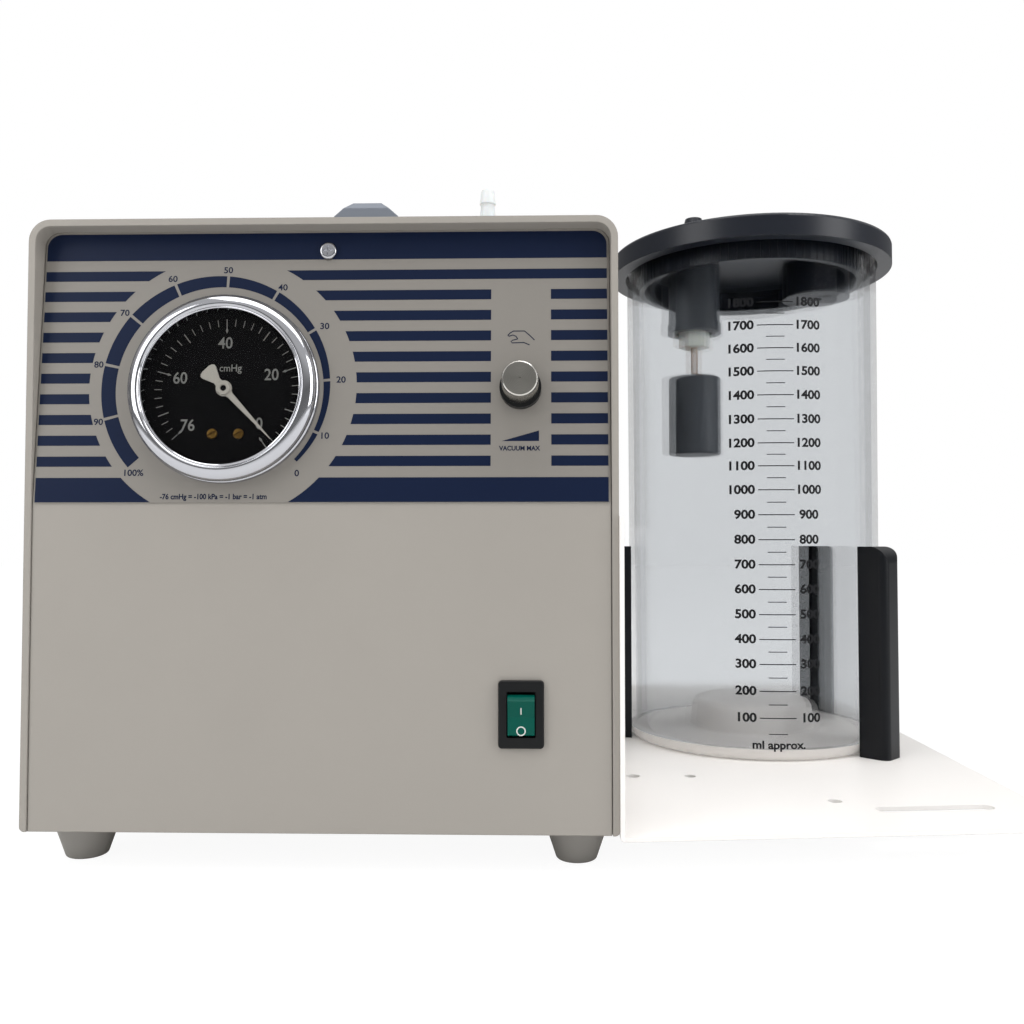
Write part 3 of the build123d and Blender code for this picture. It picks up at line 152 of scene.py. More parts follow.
def turned_metal(name, tint, centre, axis, rough, rings):
    """Metal with the fine rings that a lathe leaves round its axis."""
    made = material(name, tint, rough, metal=1.0, vary=0.06, bump=0.02)
    tree = made.node_tree
    add, join = tree.nodes.new, tree.links.new
    where = next(n for n in tree.nodes if n.type == "TEX_COORD")
    bumps = next(n for n in tree.nodes if n.type == "BUMP")
    offset = add("ShaderNodeVectorMath")
    offset.operation = "SUBTRACT"
    offset.inputs[1].default_value = centre
    join(where.outputs["Object"], offset.inputs[0])
    across = add("ShaderNodeVectorMath")
    across.operation = "CROSS_PRODUCT"
    across.inputs[1].default_value = axis
    join(offset.outputs["Vector"], across.inputs[0])
    reach = add("ShaderNodeVectorMath")
    reach.operation = "LENGTH"
    join(across.outputs["Vector"], reach.inputs[0])
    wave = add("ShaderNodeMath")
    wave.operation = "MULTIPLY"
    wave.inputs[1].default_value = rings
    join(reach.outputs["Value"], wave.inputs[0])
    ridge = add("ShaderNodeMath")
    ridge.operation = "SINE"
    join(wave.outputs["Value"], ridge.inputs[0])
    join(ridge.outputs["Value"], bumps.inputs["Height"])
    bumps.inputs["Strength"].default_value = TURNED_BUMP
    bumps.inputs["Distance"].default_value = TURNED_DEPTH * MM
    return made


PAINT = material(
    "warm_grey_paint", colour(157, 152, 145), 0.46, vary=0.03, grain=1500, bump=0.35, depth=0.05,
    edge=0.5,
)
FILM = material(
    "printed_film", colour(132, 128, 122), 0.42, vary=0.02, grain=2600, bump=0.25, edge=0.2
)
INK = material(
    "navy_ink", colour(9, 24, 52), 0.4, grain=2600, bump=0.2, Specular_IOR_Level=0.2
)
DARK_INK = material(
    "black_ink", colour(14, 15, 19), 0.5, grain=2600, bump=0.1, Specular_IOR_Level=0.2
)
DIAL_INK = material("dial_ink", colour(140, 140, 136), 0.7, grain=2600, bump=0.1)
WHITE_PAINT = material(
    "white_paint", colour(246, 243, 240), 0.38, vary=0.01, grain=1400, bump=0.3, depth=0.04, edge=0.4
)
CHROME = material(
    "chrome", colour(190, 191, 196), 0.08, metal=1.0, vary=0.02, grain=500, bump=0.02, rough_vary=0.03
)
ZINC = material(
    "zinc_plate", colour(170, 172, 176), 0.32, metal=1.0, vary=0.08, grain=1200, bump=0.1, edge=0.2
)
BRASS = material(
    "brass", colour(176, 140, 72), 0.32, metal=1.0, vary=0.1, grain=1200, bump=0.1, edge=0.1
)
DIM_BRASS = material(
    "dull_brass", colour(120, 92, 44), 0.45, metal=1.0, vary=0.1, grain=1200, bump=0.1
)
DIAL_BLACK = material(
    "dial_enamel", colour(5, 5, 6), 0.8, vary=0.1, grain=2600, bump=0.02, Specular_IOR_Level=0.05
)
BLACK = material(
    "black_moulding", colour(9, 11, 13), 0.38, vary=0.08, grain=1900, bump=0.2, depth=0.03, edge=0.3,
    Specular_IOR_Level=0.25,
)
POST_BLACK = material(
    "post_moulding", colour(10, 13, 18), 0.32, vary=0.1, grain=1500, bump=0.2, depth=0.04, edge=0.6,
    Specular_IOR_Level=0.2,
)
LID_GREY = material(
    "lid_moulding", colour(22, 26, 35), 0.32, vary=0.08, grain=1500, bump=0.2, depth=0.04, edge=0.5,
    Specular_IOR_Level=0.35,
)
FLOAT_GREY = material(
    "float_moulding", colour(62, 66, 72), 0.45, vary=0.06, grain=1700, bump=0.25, depth=0.03, edge=0.3
)
HANDLE_GREY = material(
    "handle_moulding", colour(116, 122, 132), 0.46, vary=0.06, grain=1300, bump=0.5, depth=0.06,
    edge=0.8,
)
NYLON = material(
    "natural_nylon", colour(226, 224, 216), 0.42, vary=0.03, grain=1600, bump=0.15, edge=0.2,
    Subsurface_Weight=0.2,
)
PORT_CLEAR = material(
    "port_moulding", colour(255, 255, 252), 0.4, vary=0.03, grain=1600, bump=0.15,
    Subsurface_Weight=0.2, Transmission_Weight=0.1,
)
RUBBER = material(
    "grey_rubber", colour(150, 147, 142), 0.7, vary=0.06, grain=1100, bump=0.5, depth=0.08, edge=0.5
)
SEAL = material(
    "black_rubber", colour(30, 30, 31), 0.7, vary=0.1, grain=1100, bump=0.4, depth=0.05
)
GREEN = material(
    "green_moulding", colour(0, 80, 68), 0.3, vary=0.12, patch=90, grain=1900, bump=0.1,
    Specular_IOR_Level=0.12,
)
POINTER_WHITE = material("pointer_enamel", colour(186, 182, 172), 0.5, grain=2200, bump=0.1)
ROD_TAN = material("rod", colour(168, 140, 116), 0.4, vary=0.08, grain=1500, bump=0.1)
CAST = material(
    "cast_alloy", colour(160, 162, 164), 0.5, metal=1.0, vary=0.1, grain=900, bump=0.5, depth=0.1
)
MOTOR = material("motor_paint", colour(52, 54, 57), 0.45, vary=0.06, grain=1100, bump=0.3)
SINTER = material(
    "sintered_brass", colour(164, 134, 78), 0.6, metal=1.0, vary=0.2, patch=500, grain=1600, bump=1.0,
    depth=0.2,
)
CLEAR = material(
    "clear_jar", colour(172, 177, 182), 0.02, vary=0.01, patch=14, grain=60, bump=0.02, depth=0.3,
    rough_vary=0.015, Transmission_Weight=1.0, IOR=1.1, Alpha=0.35,
)
HAZY = material(
    "hazy_base", colour(250, 246, 242), 0.3, vary=0.02, patch=40, grain=90, bump=0.1, depth=0.3,
    Alpha=0.5,
)
LENS = material(
    "lens_glass", colour(20, 20, 22), 0.03, vary=0.02, patch=14, grain=60, bump=0.004, depth=0.2,
    rough_vary=0.02, Alpha=0.12,
)
KNOB_FACE = turned_metal(
    "turned_knob", colour(150, 148, 142), centre=PANEL @ Vector((*VALVE, 0)),
    axis=(0, -LEAN_COS, LEAN_SIN), rough=0.3, rings=14000,
)
KNOB_RIM = material(
    "knurled_rim", colour(206, 204, 198), 0.2, metal=1.0, vary=0.06, grain=1500, bump=0.1
)

FINISHES = {
    PAINT: ("shell", "front_panel", "rear_panel", "base_plate"),
    FILM: ("control_label",),
    CHROME: ("panel_screw", "gauge_case", "gauge_ring"),
    ZINC: (
        "foot_screws", "shell_screws", "handle_screws", "tray_screws", "post_screws", "crank",
        "motor_cradle", "inlet_pins",
    ),
    DIAL_BLACK: ("gauge_dial",),
    BRASS: (
        "gauge_movement", "bourdon_tube", "valve_nut", "valve_needle", "rocker_tabs", "dial_screws",
    ),
    BLACK: ("valve_body", "rocker_housing", "mains_inlet", "fan"),
    KNOB_RIM: ("valve_knob",),
    LENS: ("gauge_lens",),
    GREEN: ("rocker_button",),
    HANDLE_GREY: ("handle",),
    PORT_CLEAR: ("vacuum_port",),
    NYLON: ("port_nut", "float_nut"),
    WHITE_PAINT: ("jar_tray",),
    CLEAR: ("jar", "jar_base"),
    LID_GREY: ("lid", "lid_inlet_port", "lid_vacuum_port"),
    SEAL: ("lid_gasket", "float_seal", "rubber_mounts"),
    FLOAT_GREY: ("float_socket", "float"),
    ROD_TAN: ("float_rod",),
    POINTER_WHITE: ("gauge_pointer",),
    MOTOR: ("motor",),
    CAST: ("crankcase", "piston", "cylinder", "cylinder_head"),
    SINTER: ("silencer",),
    RUBBER: ("foot_front_left", "foot_rear_left", "foot_front_right", "foot_rear_right"),
    POST_BLACK: ("post_left", "post_front", "post_rear"),
}
for made, names in FINISHES.items():
    for name in names:
        nodes[name].data.materials.clear()
        nodes[name].data.materials.append(made)

# Meshes

LATHE_SEGMENTS = 96
FINE_SEGMENTS = 160


def piece(name, mesh, made, body, place, smooth=30.0):
    """A mesh in millimetres, put in place and set to ride on a body."""
    mesh.transform(place)
    mesh.materials.clear()
    mesh.materials.append(made)
    if smooth:
        mesh.shade_smooth()
        mesh.set_sharp_from_angle(angle=math.radians(smooth))
    obj = bpy.data.objects.new(name, mesh)
    scene.collection.objects.link(obj)
    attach(obj, body)
    return obj


def to_mesh(shape, name):
    mesh = bpy.data.meshes.new(name)
    bmesh.ops.recalc_face_normals(shape, faces=shape.faces)
    shape.to_mesh(mesh)
    shape.free()
    return mesh


def on_circle(radius, turn):
    """A point on a circle about the origin, with the angle as a share of a full turn."""
    return radius * math.cos(2 * math.pi * turn), radius * math.sin(2 * math.pi * turn)


def skin(shape, a, b):
    """Join two rings of points with faces. A ring of one point is a tip."""
    count = max(len(a), len(b))
    for i in range(count):
        j = (i + 1) % count
        corners = (a[i % len(a)], a[j % len(a)], b[j % len(b)], b[i % len(b)])
        unique = list(dict.fromkeys(corners))
        if len(unique) > 2:
            shape.faces.new(unique)


def lathe(name, profile, segments=LATHE_SEGMENTS, closed=True):
    """Turn an outline of (radius, height) points about Z."""
    shape = bmesh.new()
    rings = []
    for radius, height in profile:
        count = segments if radius else 1
        points = [on_circle(radius, i / segments) for i in range(count)]
        rings.append([shape.verts.new((x, y, height)) for x, y in points])
    for a, b in zip(rings, rings[1:]):
        skin(shape, a, b)
    if closed and len(rings[0]) > 1 and len(rings[-1]) > 1:
        skin(shape, rings[-1], rings[0])
    return to_mesh(shape, name)


def prism(name, outline, low, high):
    """An outline of (x, y) points, closed, between two heights."""
    shape = bmesh.new()
    bottom, top = ([shape.verts.new((x, y, z)) for x, y in outline] for z in (low, high))
    shape.faces.new(bottom[::-1])
    shape.faces.new(top)
    skin(shape, bottom, top)
    return to_mesh(shape, name)


class Print:
    """Flat ink on a face: polygons, strokes and words in millimetres."""

    CAPITALS = 0.73

    def __init__(self):
        self.shape = bmesh.new()

    def area(self, points):
        self.shape.faces.new([self.shape.verts.new((x, y, 0)) for x, y in points])

    def band(self, edge_a, edge_b):
        """The strip between two lines with the same number of points."""
        a = [self.shape.verts.new((x, y, 0)) for x, y in edge_a]
        b = [self.shape.verts.new((x, y, 0)) for x, y in edge_b]
        for i in range(len(a) - 1):
            self.shape.faces.new((a[i], a[i + 1], b[i + 1], b[i]))

    def stroke(self, points, width):
        left, right = [], []
        for i, (x, y) in enumerate(points):
            x0, y0 = points[max(0, i - 1)]
            x1, y1 = points[min(len(points) - 1, i + 1)]
            way = Vector((x1 - x0, y1 - y0)).normalized()
            left.append((x - way.y * width / 2, y + way.x * width / 2))
            right.append((x + way.y * width / 2, y - way.x * width / 2))
        self.band(left, right)

    def word(self, text, x, y, height, squeeze=1.0, weight=0.0, align="CENTER"):
        """Letters whose capitals have that height, centred on x, y or set from it."""
        size = height / self.CAPITALS
        curve = bpy.data.curves.new("word", "FONT")
        curve.body = text
        curve.size = size
        curve.align_x = align
        curve.align_y = "CENTER"
        curve.offset = weight * size
        curve.resolution_u = 4
        carrier = bpy.data.objects.new("word", curve)
        scene.collection.objects.link(carrier)
        bpy.context.view_layer.update()
        drawn = carrier.evaluated_get(bpy.context.evaluated_depsgraph_get())
        mesh = bpy.data.meshes.new_from_object(drawn)
        bpy.data.objects.remove(carrier)
        bpy.data.curves.remove(curve)
        mesh.transform(moved(x, y) @ Matrix.Diagonal((squeeze, 1, 1, 1)))
        self.shape.from_mesh(mesh)
        bpy.data.meshes.remove(mesh)

    def mesh(self, name, lift=PRINT_LIFT, wrap=None):
        """The ink as a mesh just over the face, or wrapped round an upright wall."""
        for vert in self.shape.verts:
            vert.co.z = lift
            if wrap:
                vert.co = wrap(vert.co.x, vert.co.y)
        for face in self.shape.faces:
            face.normal_update()
            if not wrap and face.normal.z < 0:
                face.normal_flip()
        mesh = bpy.data.meshes.new(name)
        self.shape.to_mesh(mesh)
        self.shape.free()
        return mesh


def on_arc(x, y, radius, angle):
    return x + radius * math.cos(math.radians(angle)), y + radius * math.sin(math.radians(angle))


def arc(x, y, radius, start, end, count):
    """Points along an arc, with the angles in degrees."""
    return [on_arc(x, y, radius, start + (end - start) * i / count) for i in range(count + 1)]


# The printed panel

LEFT, RIGHT = 3.2, 186.8
TOP_BAND_LOW, LABEL_TOP, LABEL_CORNER = 79.9, 88.9, 4.6
LOW_BAND, LOW_BAND_TOP = 0.2, 8.1
STRIPES, STRIPE_TOP, STRIPE_PITCH, STRIPE_H = 10, 76.3, 6.81, 3.3
STRIPE_STEPS = 6
RING_X, RING_Y, RING_R = 62.7, 37.65, 43.5
PLAIN_LEFT, PLAIN_RIGHT = 149.4, 168.7


def ring_edge(y, side):
    """Where the clear circle round the gauge cuts a stripe at that height."""
    rest = RING_R**2 - (y - RING_Y) ** 2
    return RING_X + side * math.sqrt(rest) if rest > 0 else RING_X


def stripe(ink, low, high, plain_column=True):
    heights = [low + (high - low) * i / STRIPE_STEPS for i in range(STRIPE_STEPS + 1)]
    ink.band([(LEFT, y) for y in heights], [(ring_edge(y, -1), y) for y in heights])
    end = PLAIN_LEFT if plain_column else RIGHT
    ink.band([(ring_edge(y, 1), y) for y in heights], [(end, y) for y in heights])
    if plain_column:
        ink.area(((PLAIN_RIGHT, low), (RIGHT, low), (RIGHT, high), (PLAIN_RIGHT, high)))


ink = Print()
for index in range(STRIPES):
    top = STRIPE_TOP - STRIPE_PITCH * index
    stripe(ink, top - STRIPE_H, top, plain_column=index > 0)
stripe(ink, LOW_BAND, LOW_BAND_TOP, plain_column=False)
corner_y = LABEL_TOP - LABEL_CORNER
outline = [(LEFT, TOP_BAND_LOW), (RIGHT, TOP_BAND_LOW)]
outline += arc(RIGHT - LABEL_CORNER, corner_y, LABEL_CORNER, 0, 90, 8)
outline += arc(LEFT + LABEL_CORNER, corner_y, LABEL_CORNER, 90, 180, 8)
ink.area(outline)

# The curved scale, in ten blocks that grow thicker up to 70

SCALE = (61.7, 37.0)
SCALE_R, SCALE_THIN, SCALE_GROWTH, SCALE_FULL = 33.8, 1.2, 3.5, 70
SCALE_ANGLES = (-43.5, -24.3, 4.5, 32.5, 60.4, 87.2, 114.1, 140.6, 167.7, 194.9, 222.3)
SCALE_GAP, SCALE_STEPS = 0.7, 12
for index in range(10):
    start, end = SCALE_ANGLES[index] + SCALE_GAP, SCALE_ANGLES[index + 1] - SCALE_GAP
    inner, outer = [], []
    for step in range(SCALE_STEPS + 1):
        along = step / SCALE_STEPS
        angle = start + (end - start) * along
        growth = SCALE_GROWTH * min(10 * (index + along) / SCALE_FULL, 1.0)
        inner.append(on_arc(*SCALE, SCALE_R, angle))
        outer.append(on_arc(*SCALE, SCALE_R + SCALE_THIN + growth, angle))
    ink.band(inner, outer)
SCALE_WORDS = (
    ("0", 87.5, 9.4), ("10", 96.1, 21.5), ("20", 101.1, 39.8), ("30", 95.4, 57.5),
    ("40", 81.5, 70.5), ("50", 63.4, 76.4), ("60", 45.2, 73.6), ("70", 29.8, 62.3),
    ("80", 22.0, 45.1), ("90", 22.7, 26.2), ("100%", 34.7, 9.6),
)
for text, x, y in SCALE_WORDS:
    ink.word(text, x, y, height=2.1, squeeze=1.08, weight=0.018)
UNITS = "-76 cmHg = -100 kPa = -1 bar = -1 atm"
ink.word(UNITS, 60.9, 1.9, height=1.75, squeeze=0.9, weight=0.03)

# The regulator's signs: a wedge, its word, and a hand with its thumb, finger and palm

ink.word("VACUUM MAX", 158.6, 17.3, height=1.5, squeeze=0.95, weight=0.03)
ink.area(((152.9, 19.7), (164.8, 19.7), (164.8, 23.1)))
HAND_LINE = 0.32
HAND = (
    ((154.8, 54.2), (155.6, 55.0), (156.6, 55.6), (160.2, 55.6), (161.8, 54.2), (163.4, 52.6)),
    ((154.8, 54.2), (155.2, 53.9), (156.4, 54.3), (157.4, 53.9), (158.0, 53.0)),
    ((158.0, 53.0), (156.4, 52.6), (155.8, 52.2), (156.2, 51.7), (160.0, 51.8), (161.8, 51.0)),
)
for line in HAND:
    ink.stroke(line, HAND_LINE)
printed = ink.mesh("panel_print", LABEL_T + PRINT_LIFT)
piece("panel_print", printed, INK, "cabinet", PANEL, smooth=0)

# The gauge

GAUGE_FACE = PANEL @ moved(*GAUGE)
RING_PROFILE = (
    (25.3, 2.45), (30.2, 2.45), (30.4, 2.9), (30.4, 3.5), (30.2, 4.2), (29.7, 4.9), (29.0, 5.5),
    (28.1, 5.95), (27.1, 6.2), (26.5, 6.25), (26.3, 6.1), (26.1, 5.75), (25.9, 5.7), (25.6, 5.85),
    (25.3, 5.7), (25.25, 5.1),
)
turning = lathe("gauge_bezel", RING_PROFILE, FINE_SEGMENTS)
bezel = piece("gauge_bezel", turning, CHROME, "cabinet", GAUGE_FACE, smooth=50)
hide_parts("gauge_ring")

DIAL_DEPTH, DIAL_END = 1.4, 76
DIAL_FACE = GAUGE_FACE @ moved(0, 0, -DIAL_DEPTH)
DIAL_ZERO, DIAL_STEP = -54.5, 3.65
TICK_OUT, TICK_IN, TICK_LINE = 23.7, 21.3, 0.26
LONG_TICK_IN, LONG_TICK_LINE = 20.1, 0.34
LOZENGE_OUT, LOZENGE_MIDDLE, LOZENGE_IN, LOZENGE_HALF = 21.2, 19.9, 18.9, 0.42
ink = Print()
for value in range(0, DIAL_END + 1, 2):
    angle = math.radians(DIAL_ZERO + DIAL_STEP * value)
    way = Vector((math.cos(angle), math.sin(angle)))
    long = value % 10 == 0
    inner = way * (LONG_TICK_IN if long else TICK_IN)
    ink.stroke((tuple(way * TICK_OUT), tuple(inner)), LONG_TICK_LINE if long else TICK_LINE)
    if value % 20 == 0 or value == DIAL_END:
        across = Vector((-way.y, way.x)) * LOZENGE_HALF
        middle = way * LOZENGE_MIDDLE
        corners = (way * LOZENGE_OUT, middle + across, way * LOZENGE_IN, middle - across)
        ink.area([tuple(corner) for corner in corners])
DIAL_WORDS = (
    ("0", 10.9, -11.1), ("20", 14.5, 5.0), ("40", -0.9, 15.6), ("60", -15.4, 4.0),
    ("76", -12.4, -11.6),
)
for text, x, y in DIAL_WORDS:
    ink.word(text, x, y, height=3.9, squeeze=0.9, weight=0.012)
ink.word("cmHg", 1.0, 7.3, height=2.4, squeeze=0.95, weight=0.01)
piece("dial_print", ink.mesh("dial_print"), DIAL_INK, "cabinet", DIAL_FACE, smooth=0)

POINTER_REST = math.radians(-46.8)
POINTER_OUT, POINTER_T, POINTER_TIP, HUB_R = 1.3, 0.5, 22.6, 2.6
TAIL = ((-3.4, 1.2), (-7.2, 2.9), (-7.9, 2.95), (-8.5, 2.4), (-8.8, 1.4))
outline = [(POINTER_TIP, -0.12), (POINTER_TIP, 0.12), (3.0, 1.0), (2.2, 1.35)]
outline += arc(0, 0, HUB_R, 31, 149, 10)
outline += TAIL
outline += [(x, -y) for x, y in reversed(TAIL)]
outline += arc(0, 0, HUB_R, 211, 329, 10)
outline += [(2.2, -1.35), (3.0, -1.0)]
hand_place = GAUGE_FACE @ turned(POINTER_REST) @ moved(0, 0, POINTER_OUT)
blade = prism("gauge_hand", outline, 0, POINTER_T)
hand_piece = piece("gauge_hand", blade, POINTER_WHITE, "pointer", hand_place)
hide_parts("gauge_pointer")
HUB = ((0, 0.3), (2.2, 0.3), (2.2, 0.9), (2.0, 1.1), (1.1, 1.1), (1.0, 0.8), (0, 0.8))
ARBOR = ((0, -7.9), (1.0, -7.9), (1.0, 0.7), (0.8, 0.95), (0, 0.95))
hub = lathe("gauge_hub", HUB, 48)
piece("gauge_hub", hub, POINTER_WHITE, "pointer", hand_place, smooth=40)
arbor = lathe("gauge_arbor", ARBOR, 32)
piece("gauge_arbor", arbor, DIAL_BLACK, "pointer", hand_place, smooth=40)

SLOT_TURN = 0.5
SLOT_WIDTH = 0.3


def slotted_head(name, radius, height, made, body, place):
    """A low domed screw head with one slot."""
    profile = (
        (0, 0), (radius, 0), (radius, height * 0.35), (radius * 0.86, height * 0.8),
        (radius * 0.6, height), (0, height),
    )
    obj = piece(name, lathe(name, profile, 32), made, body, place, smooth=40)
    cutter = bmesh.new()
    slot = Matrix.Diagonal((radius * 3, radius * SLOT_WIDTH, height, 1))
    slot = moved(0, 0, height) @ turned(SLOT_TURN) @ slot
    bmesh.ops.create_cube(cutter, size=1.0, matrix=slot)
    blades = bpy.data.meshes.new("cutter")
    cutter.to_mesh(blades)
    cutter.free()
    blades.transform(place)
    tool = bpy.data.objects.new("cutter", blades)
    scene.collection.objects.link(tool)
    cut = obj.modifiers.new("slot", "BOOLEAN")
    cut.operation = "DIFFERENCE"
    cut.solver = "EXACT"
    cut.object = tool
    bpy.context.view_layer.update()
    slotted = obj.evaluated_get(bpy.context.evaluated_depsgraph_get())
    result = bpy.data.meshes.new_from_object(slotted)
    obj.modifiers.clear()
    obj.data = result
    bpy.data.objects.remove(tool)
    return obj


DIAL_SCREW_R, DIAL_SCREW_H = 1.75, 0.8
DIAL_SCREW_SIDE, DIAL_SCREW_Y, DIAL_SCREW_LIFT = 4.3, -14.3, 0.02
for side, x in (("left", -DIAL_SCREW_SIDE), ("right", DIAL_SCREW_SIDE)):
    place = DIAL_FACE @ moved(x, DIAL_SCREW_Y, DIAL_SCREW_LIFT)
    name = f"dial_screw_{side}"
    head = slotted_head(name, DIAL_SCREW_R, DIAL_SCREW_H, DIM_BRASS, "cabinet", place)
    if side == "left":
        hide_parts("dial_screws")

# The regulator's knob

VALVE_COLLAR_H = 3.4
KNOB_SEAT = PANEL @ moved(*VALVE, LABEL_T + VALVE_COLLAR_H + SEAT_GAP)
KNURLS = 64
KNOB_ENDS_R, KNURL_ROOT_R, KNURL_TIP_R, KNOB_TOP_R = 5.45, 5.55, 5.79, 5.1
# Each level: its height, and the radius at the even and the odd points of the ring.
KNOB_LEVELS = (
    (0.0, KNOB_ENDS_R, KNOB_ENDS_R), (0.4, KNOB_ENDS_R, KNOB_ENDS_R),
    (0.8, KNURL_ROOT_R, KNURL_TIP_R), (9.6, KNURL_ROOT_R, KNURL_TIP_R),
    (10.1, KNOB_ENDS_R, KNOB_ENDS_R), (10.7, KNOB_ENDS_R, KNOB_ENDS_R),
    (11.0, KNOB_TOP_R, KNOB_TOP_R),
)
shape = bmesh.new()
rings = []
for height, *radii in KNOB_LEVELS:
    points = [on_circle(radii[i % 2], i / (2 * KNURLS)) for i in range(2 * KNURLS)]
    rings.append([shape.verts.new((x, y, height)) for x, y in points])
for a, b in zip(rings, rings[1:]):
    skin(shape, a, b)
shape.faces.new(rings[0][::-1])
knob = piece("knob_grip", to_mesh(shape, "knob_grip"), KNOB_RIM, "knob", KNOB_SEAT, smooth=20)
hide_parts("valve_knob")
FACE = (
    (0, 10.75), (0.22, 10.75), (0.3, 10.98), (4.6, 11.0), (KNOB_TOP_R, 11.0), (KNOB_TOP_R, 10.4),
    (0, 10.4),
)
piece("knob_face", lathe("knob_face", FACE), KNOB_FACE, "knob", KNOB_SEAT)

# The rocker switch

ROCKER_TILT = math.radians(10)
ROCKER_PIVOT_IN, ROCKER_RISE = 0.5, 3.1
ROCKER_LIFT, ROCKER_LINE = 0.05, 0.36
ON_LOW, ON_HIGH = 1.0, 3.3
OFF_MIDDLE, OFF_IN, OFF_OUT = -4.3, 1.1, 1.5
VALLEY = FRONT @ moved(*ROCKER_SWITCH, -ROCKER_PIVOT_IN) @ turned(ROCKER_TILT, "X")
VALLEY = VALLEY @ moved(0, 0, ROCKER_RISE)
UPPER = VALLEY @ turned(ROCKER_TILT, "X")
LOWER = VALLEY @ turned(-ROCKER_TILT, "X")
marks = Print()
marks.stroke(((0, ON_LOW), (0, ON_HIGH)), ROCKER_LINE)
on_mark = marks.mesh("rocker_on_mark", ROCKER_LIFT)
piece("rocker_on_mark", on_mark, NYLON, "rocker", UPPER, smooth=0)
marks = Print()
marks.band(*(arc(0, OFF_MIDDLE, radius, 0, 360, 32) for radius in (OFF_IN, OFF_OUT)))
off_mark = marks.mesh("rocker_off_mark", ROCKER_LIFT)
piece("rocker_off_mark", off_mark, NYLON, "rocker", LOWER, smooth=0)

# The jar: a hazy base with a raised middle, and a clear tube on it

JAR_H = 223.5
BASE_R, TOP_R, WALL, FLOOR_T = 57.1, 58.0, 2.6, 5.0
TUBE_FOOT = 5.1
FOOT_ROUND, FOOT_X = 4, 53.1
LEVELS = (30, 60, 90, 120, 150, 180, 210, 222.9)


def jar_r(z):
    return BASE_R + (TOP_R - BASE_R) * z / JAR_H


BASE_PROFILE = [
    (0, 14.5), (19.5, 14.5), (21.6, 13.9), (22.8, 12.4), (24.8, 1.2), (47.6, 1.2), (48.4, 0.4),
    (49.4, 0.0),
]
BASE_PROFILE += arc(FOOT_X, FOOT_ROUND, FOOT_ROUND, -80, 0, 5)
BASE_PROFILE += [(jar_r(FLOOR_T), FLOOR_T), (30.0, FLOOR_T)]
BASE_PROFILE += [(28.6, 5.6), (27.4, 15.4), (26.2, 17.6), (23.8, 18.5), (0, 18.5)]
TUBE_PROFILE = [(jar_r(z), z) for z in (TUBE_FOOT, *LEVELS)]
TUBE_PROFILE += [(TOP_R - 0.5, JAR_H), (TOP_R - WALL + 0.5, JAR_H)]
TUBE_PROFILE += [(jar_r(z) - WALL, z) for z in (*reversed(LEVELS), 9.0)]
TUBE_PROFILE += [(jar_r(FLOOR_T) - WALL - 0.2, 6.6), (jar_r(FLOOR_T) - WALL - 0.9, TUBE_FOOT)]
turning = lathe("jar_foot", BASE_PROFILE, FINE_SEGMENTS, closed=False)
base = piece("jar_foot", turning, HAZY, "jar", JAR, smooth=45)
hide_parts("jar_base")
turning = lathe("jar_glass", TUBE_PROFILE, FINE_SEGMENTS)
glass = piece("jar_glass", turning, CLEAR, "jar", JAR, smooth=45)
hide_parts("jar")

# The jar's marks

MARKS_MIDDLE = math.radians(-91.55)
MARKS_LIFT = 0.06
LONG, SHORT, LONG_LINE, SHORT_LINE = 7.6, 3.9, 0.42, 0.36
LEFT_NUMBERS, RIGHT_NUMBERS, NUMBER_H = -8.9, 13.9, 3.75
FIRST_MARK = 11.6
HUNDREDS = (
    18.2, 29.4, 40.6, 51.0, 61.4, 71.9, 82.3, 92.8, 103.3, 113.8, 123.9, 133.6, 143.7, 153.9, 164.0,
    173.8, 183.6, 193.4,
)


def on_jar(x, z):
    """Wrap a print round the jar: x runs along its wall from the marks' middle line."""
    radius = jar_r(z) + MARKS_LIFT
    angle = MARKS_MIDDLE + x / radius
    return Vector((radius * math.cos(angle), radius * math.sin(angle), z))


def mark(ink, half, z, width, steps):
    ink.stroke([(half * x / steps, z) for x in range(-steps, steps + 1)], width)


ink = Print()
for index, z in enumerate(HUNDREDS):
    mark(ink, LONG, z, LONG_LINE, steps=4)
    number = str(100 * (index + 1))
    ink.word(number, LEFT_NUMBERS, z, NUMBER_H, squeeze=1.12, weight=0.035, align="RIGHT")
    ink.word(number, RIGHT_NUMBERS, z, NUMBER_H, squeeze=1.12, weight=0.035)
    if index:
        mark(ink, SHORT, (z + HUNDREDS[index - 1]) / 2, SHORT_LINE, steps=2)
mark(ink, SHORT, FIRST_MARK, SHORT_LINE, steps=2)
ink.word("ml approx.", 0.4, 7.0, height=3.4, squeeze=1.1, weight=0.03)
piece("jar_print", ink.mesh("jar_print", wrap=on_jar), DARK_INK, "jar", JAR, smooth=0)

# The lid's ribs

RIBS, RIB_R, RIB_Z = 90, 52.0, 219.7
RIB_SIZE = Matrix.Diagonal((0.7, 1.1, 11.0, 1))
shape = bmesh.new()
for index in range(RIBS):
    place = turned(2 * math.pi * index / RIBS) @ moved(RIB_R, 0, RIB_Z)
    bmesh.ops.create_cube(shape, size=1.0, matrix=place @ RIB_SIZE)
piece("lid_ribs", to_mesh(shape, "lid_ribs"), LID_GREY, "lid", JAR, smooth=0)

# The camera, as solved from the photo

PHOTO_PIXELS, SENSOR, FOCAL_PIXELS = 1024, 36.0, 952.28
camera_data = bpy.data.cameras.new("camera")
camera = bpy.data.objects.new("camera", camera_data)
scene.collection.objects.link(camera)
camera_data.sensor_width = SENSOR
camera_data.lens = FOCAL_PIXELS / PHOTO_PIXELS * SENSOR
camera.location = at(163.64, -300.80, 91.34)
camera.rotation_euler = (math.radians(91.89), 0, math.radians(1.41))
camera_data.clip_start = 0.01
camera_data.clip_end = 50
scene.camera = camera

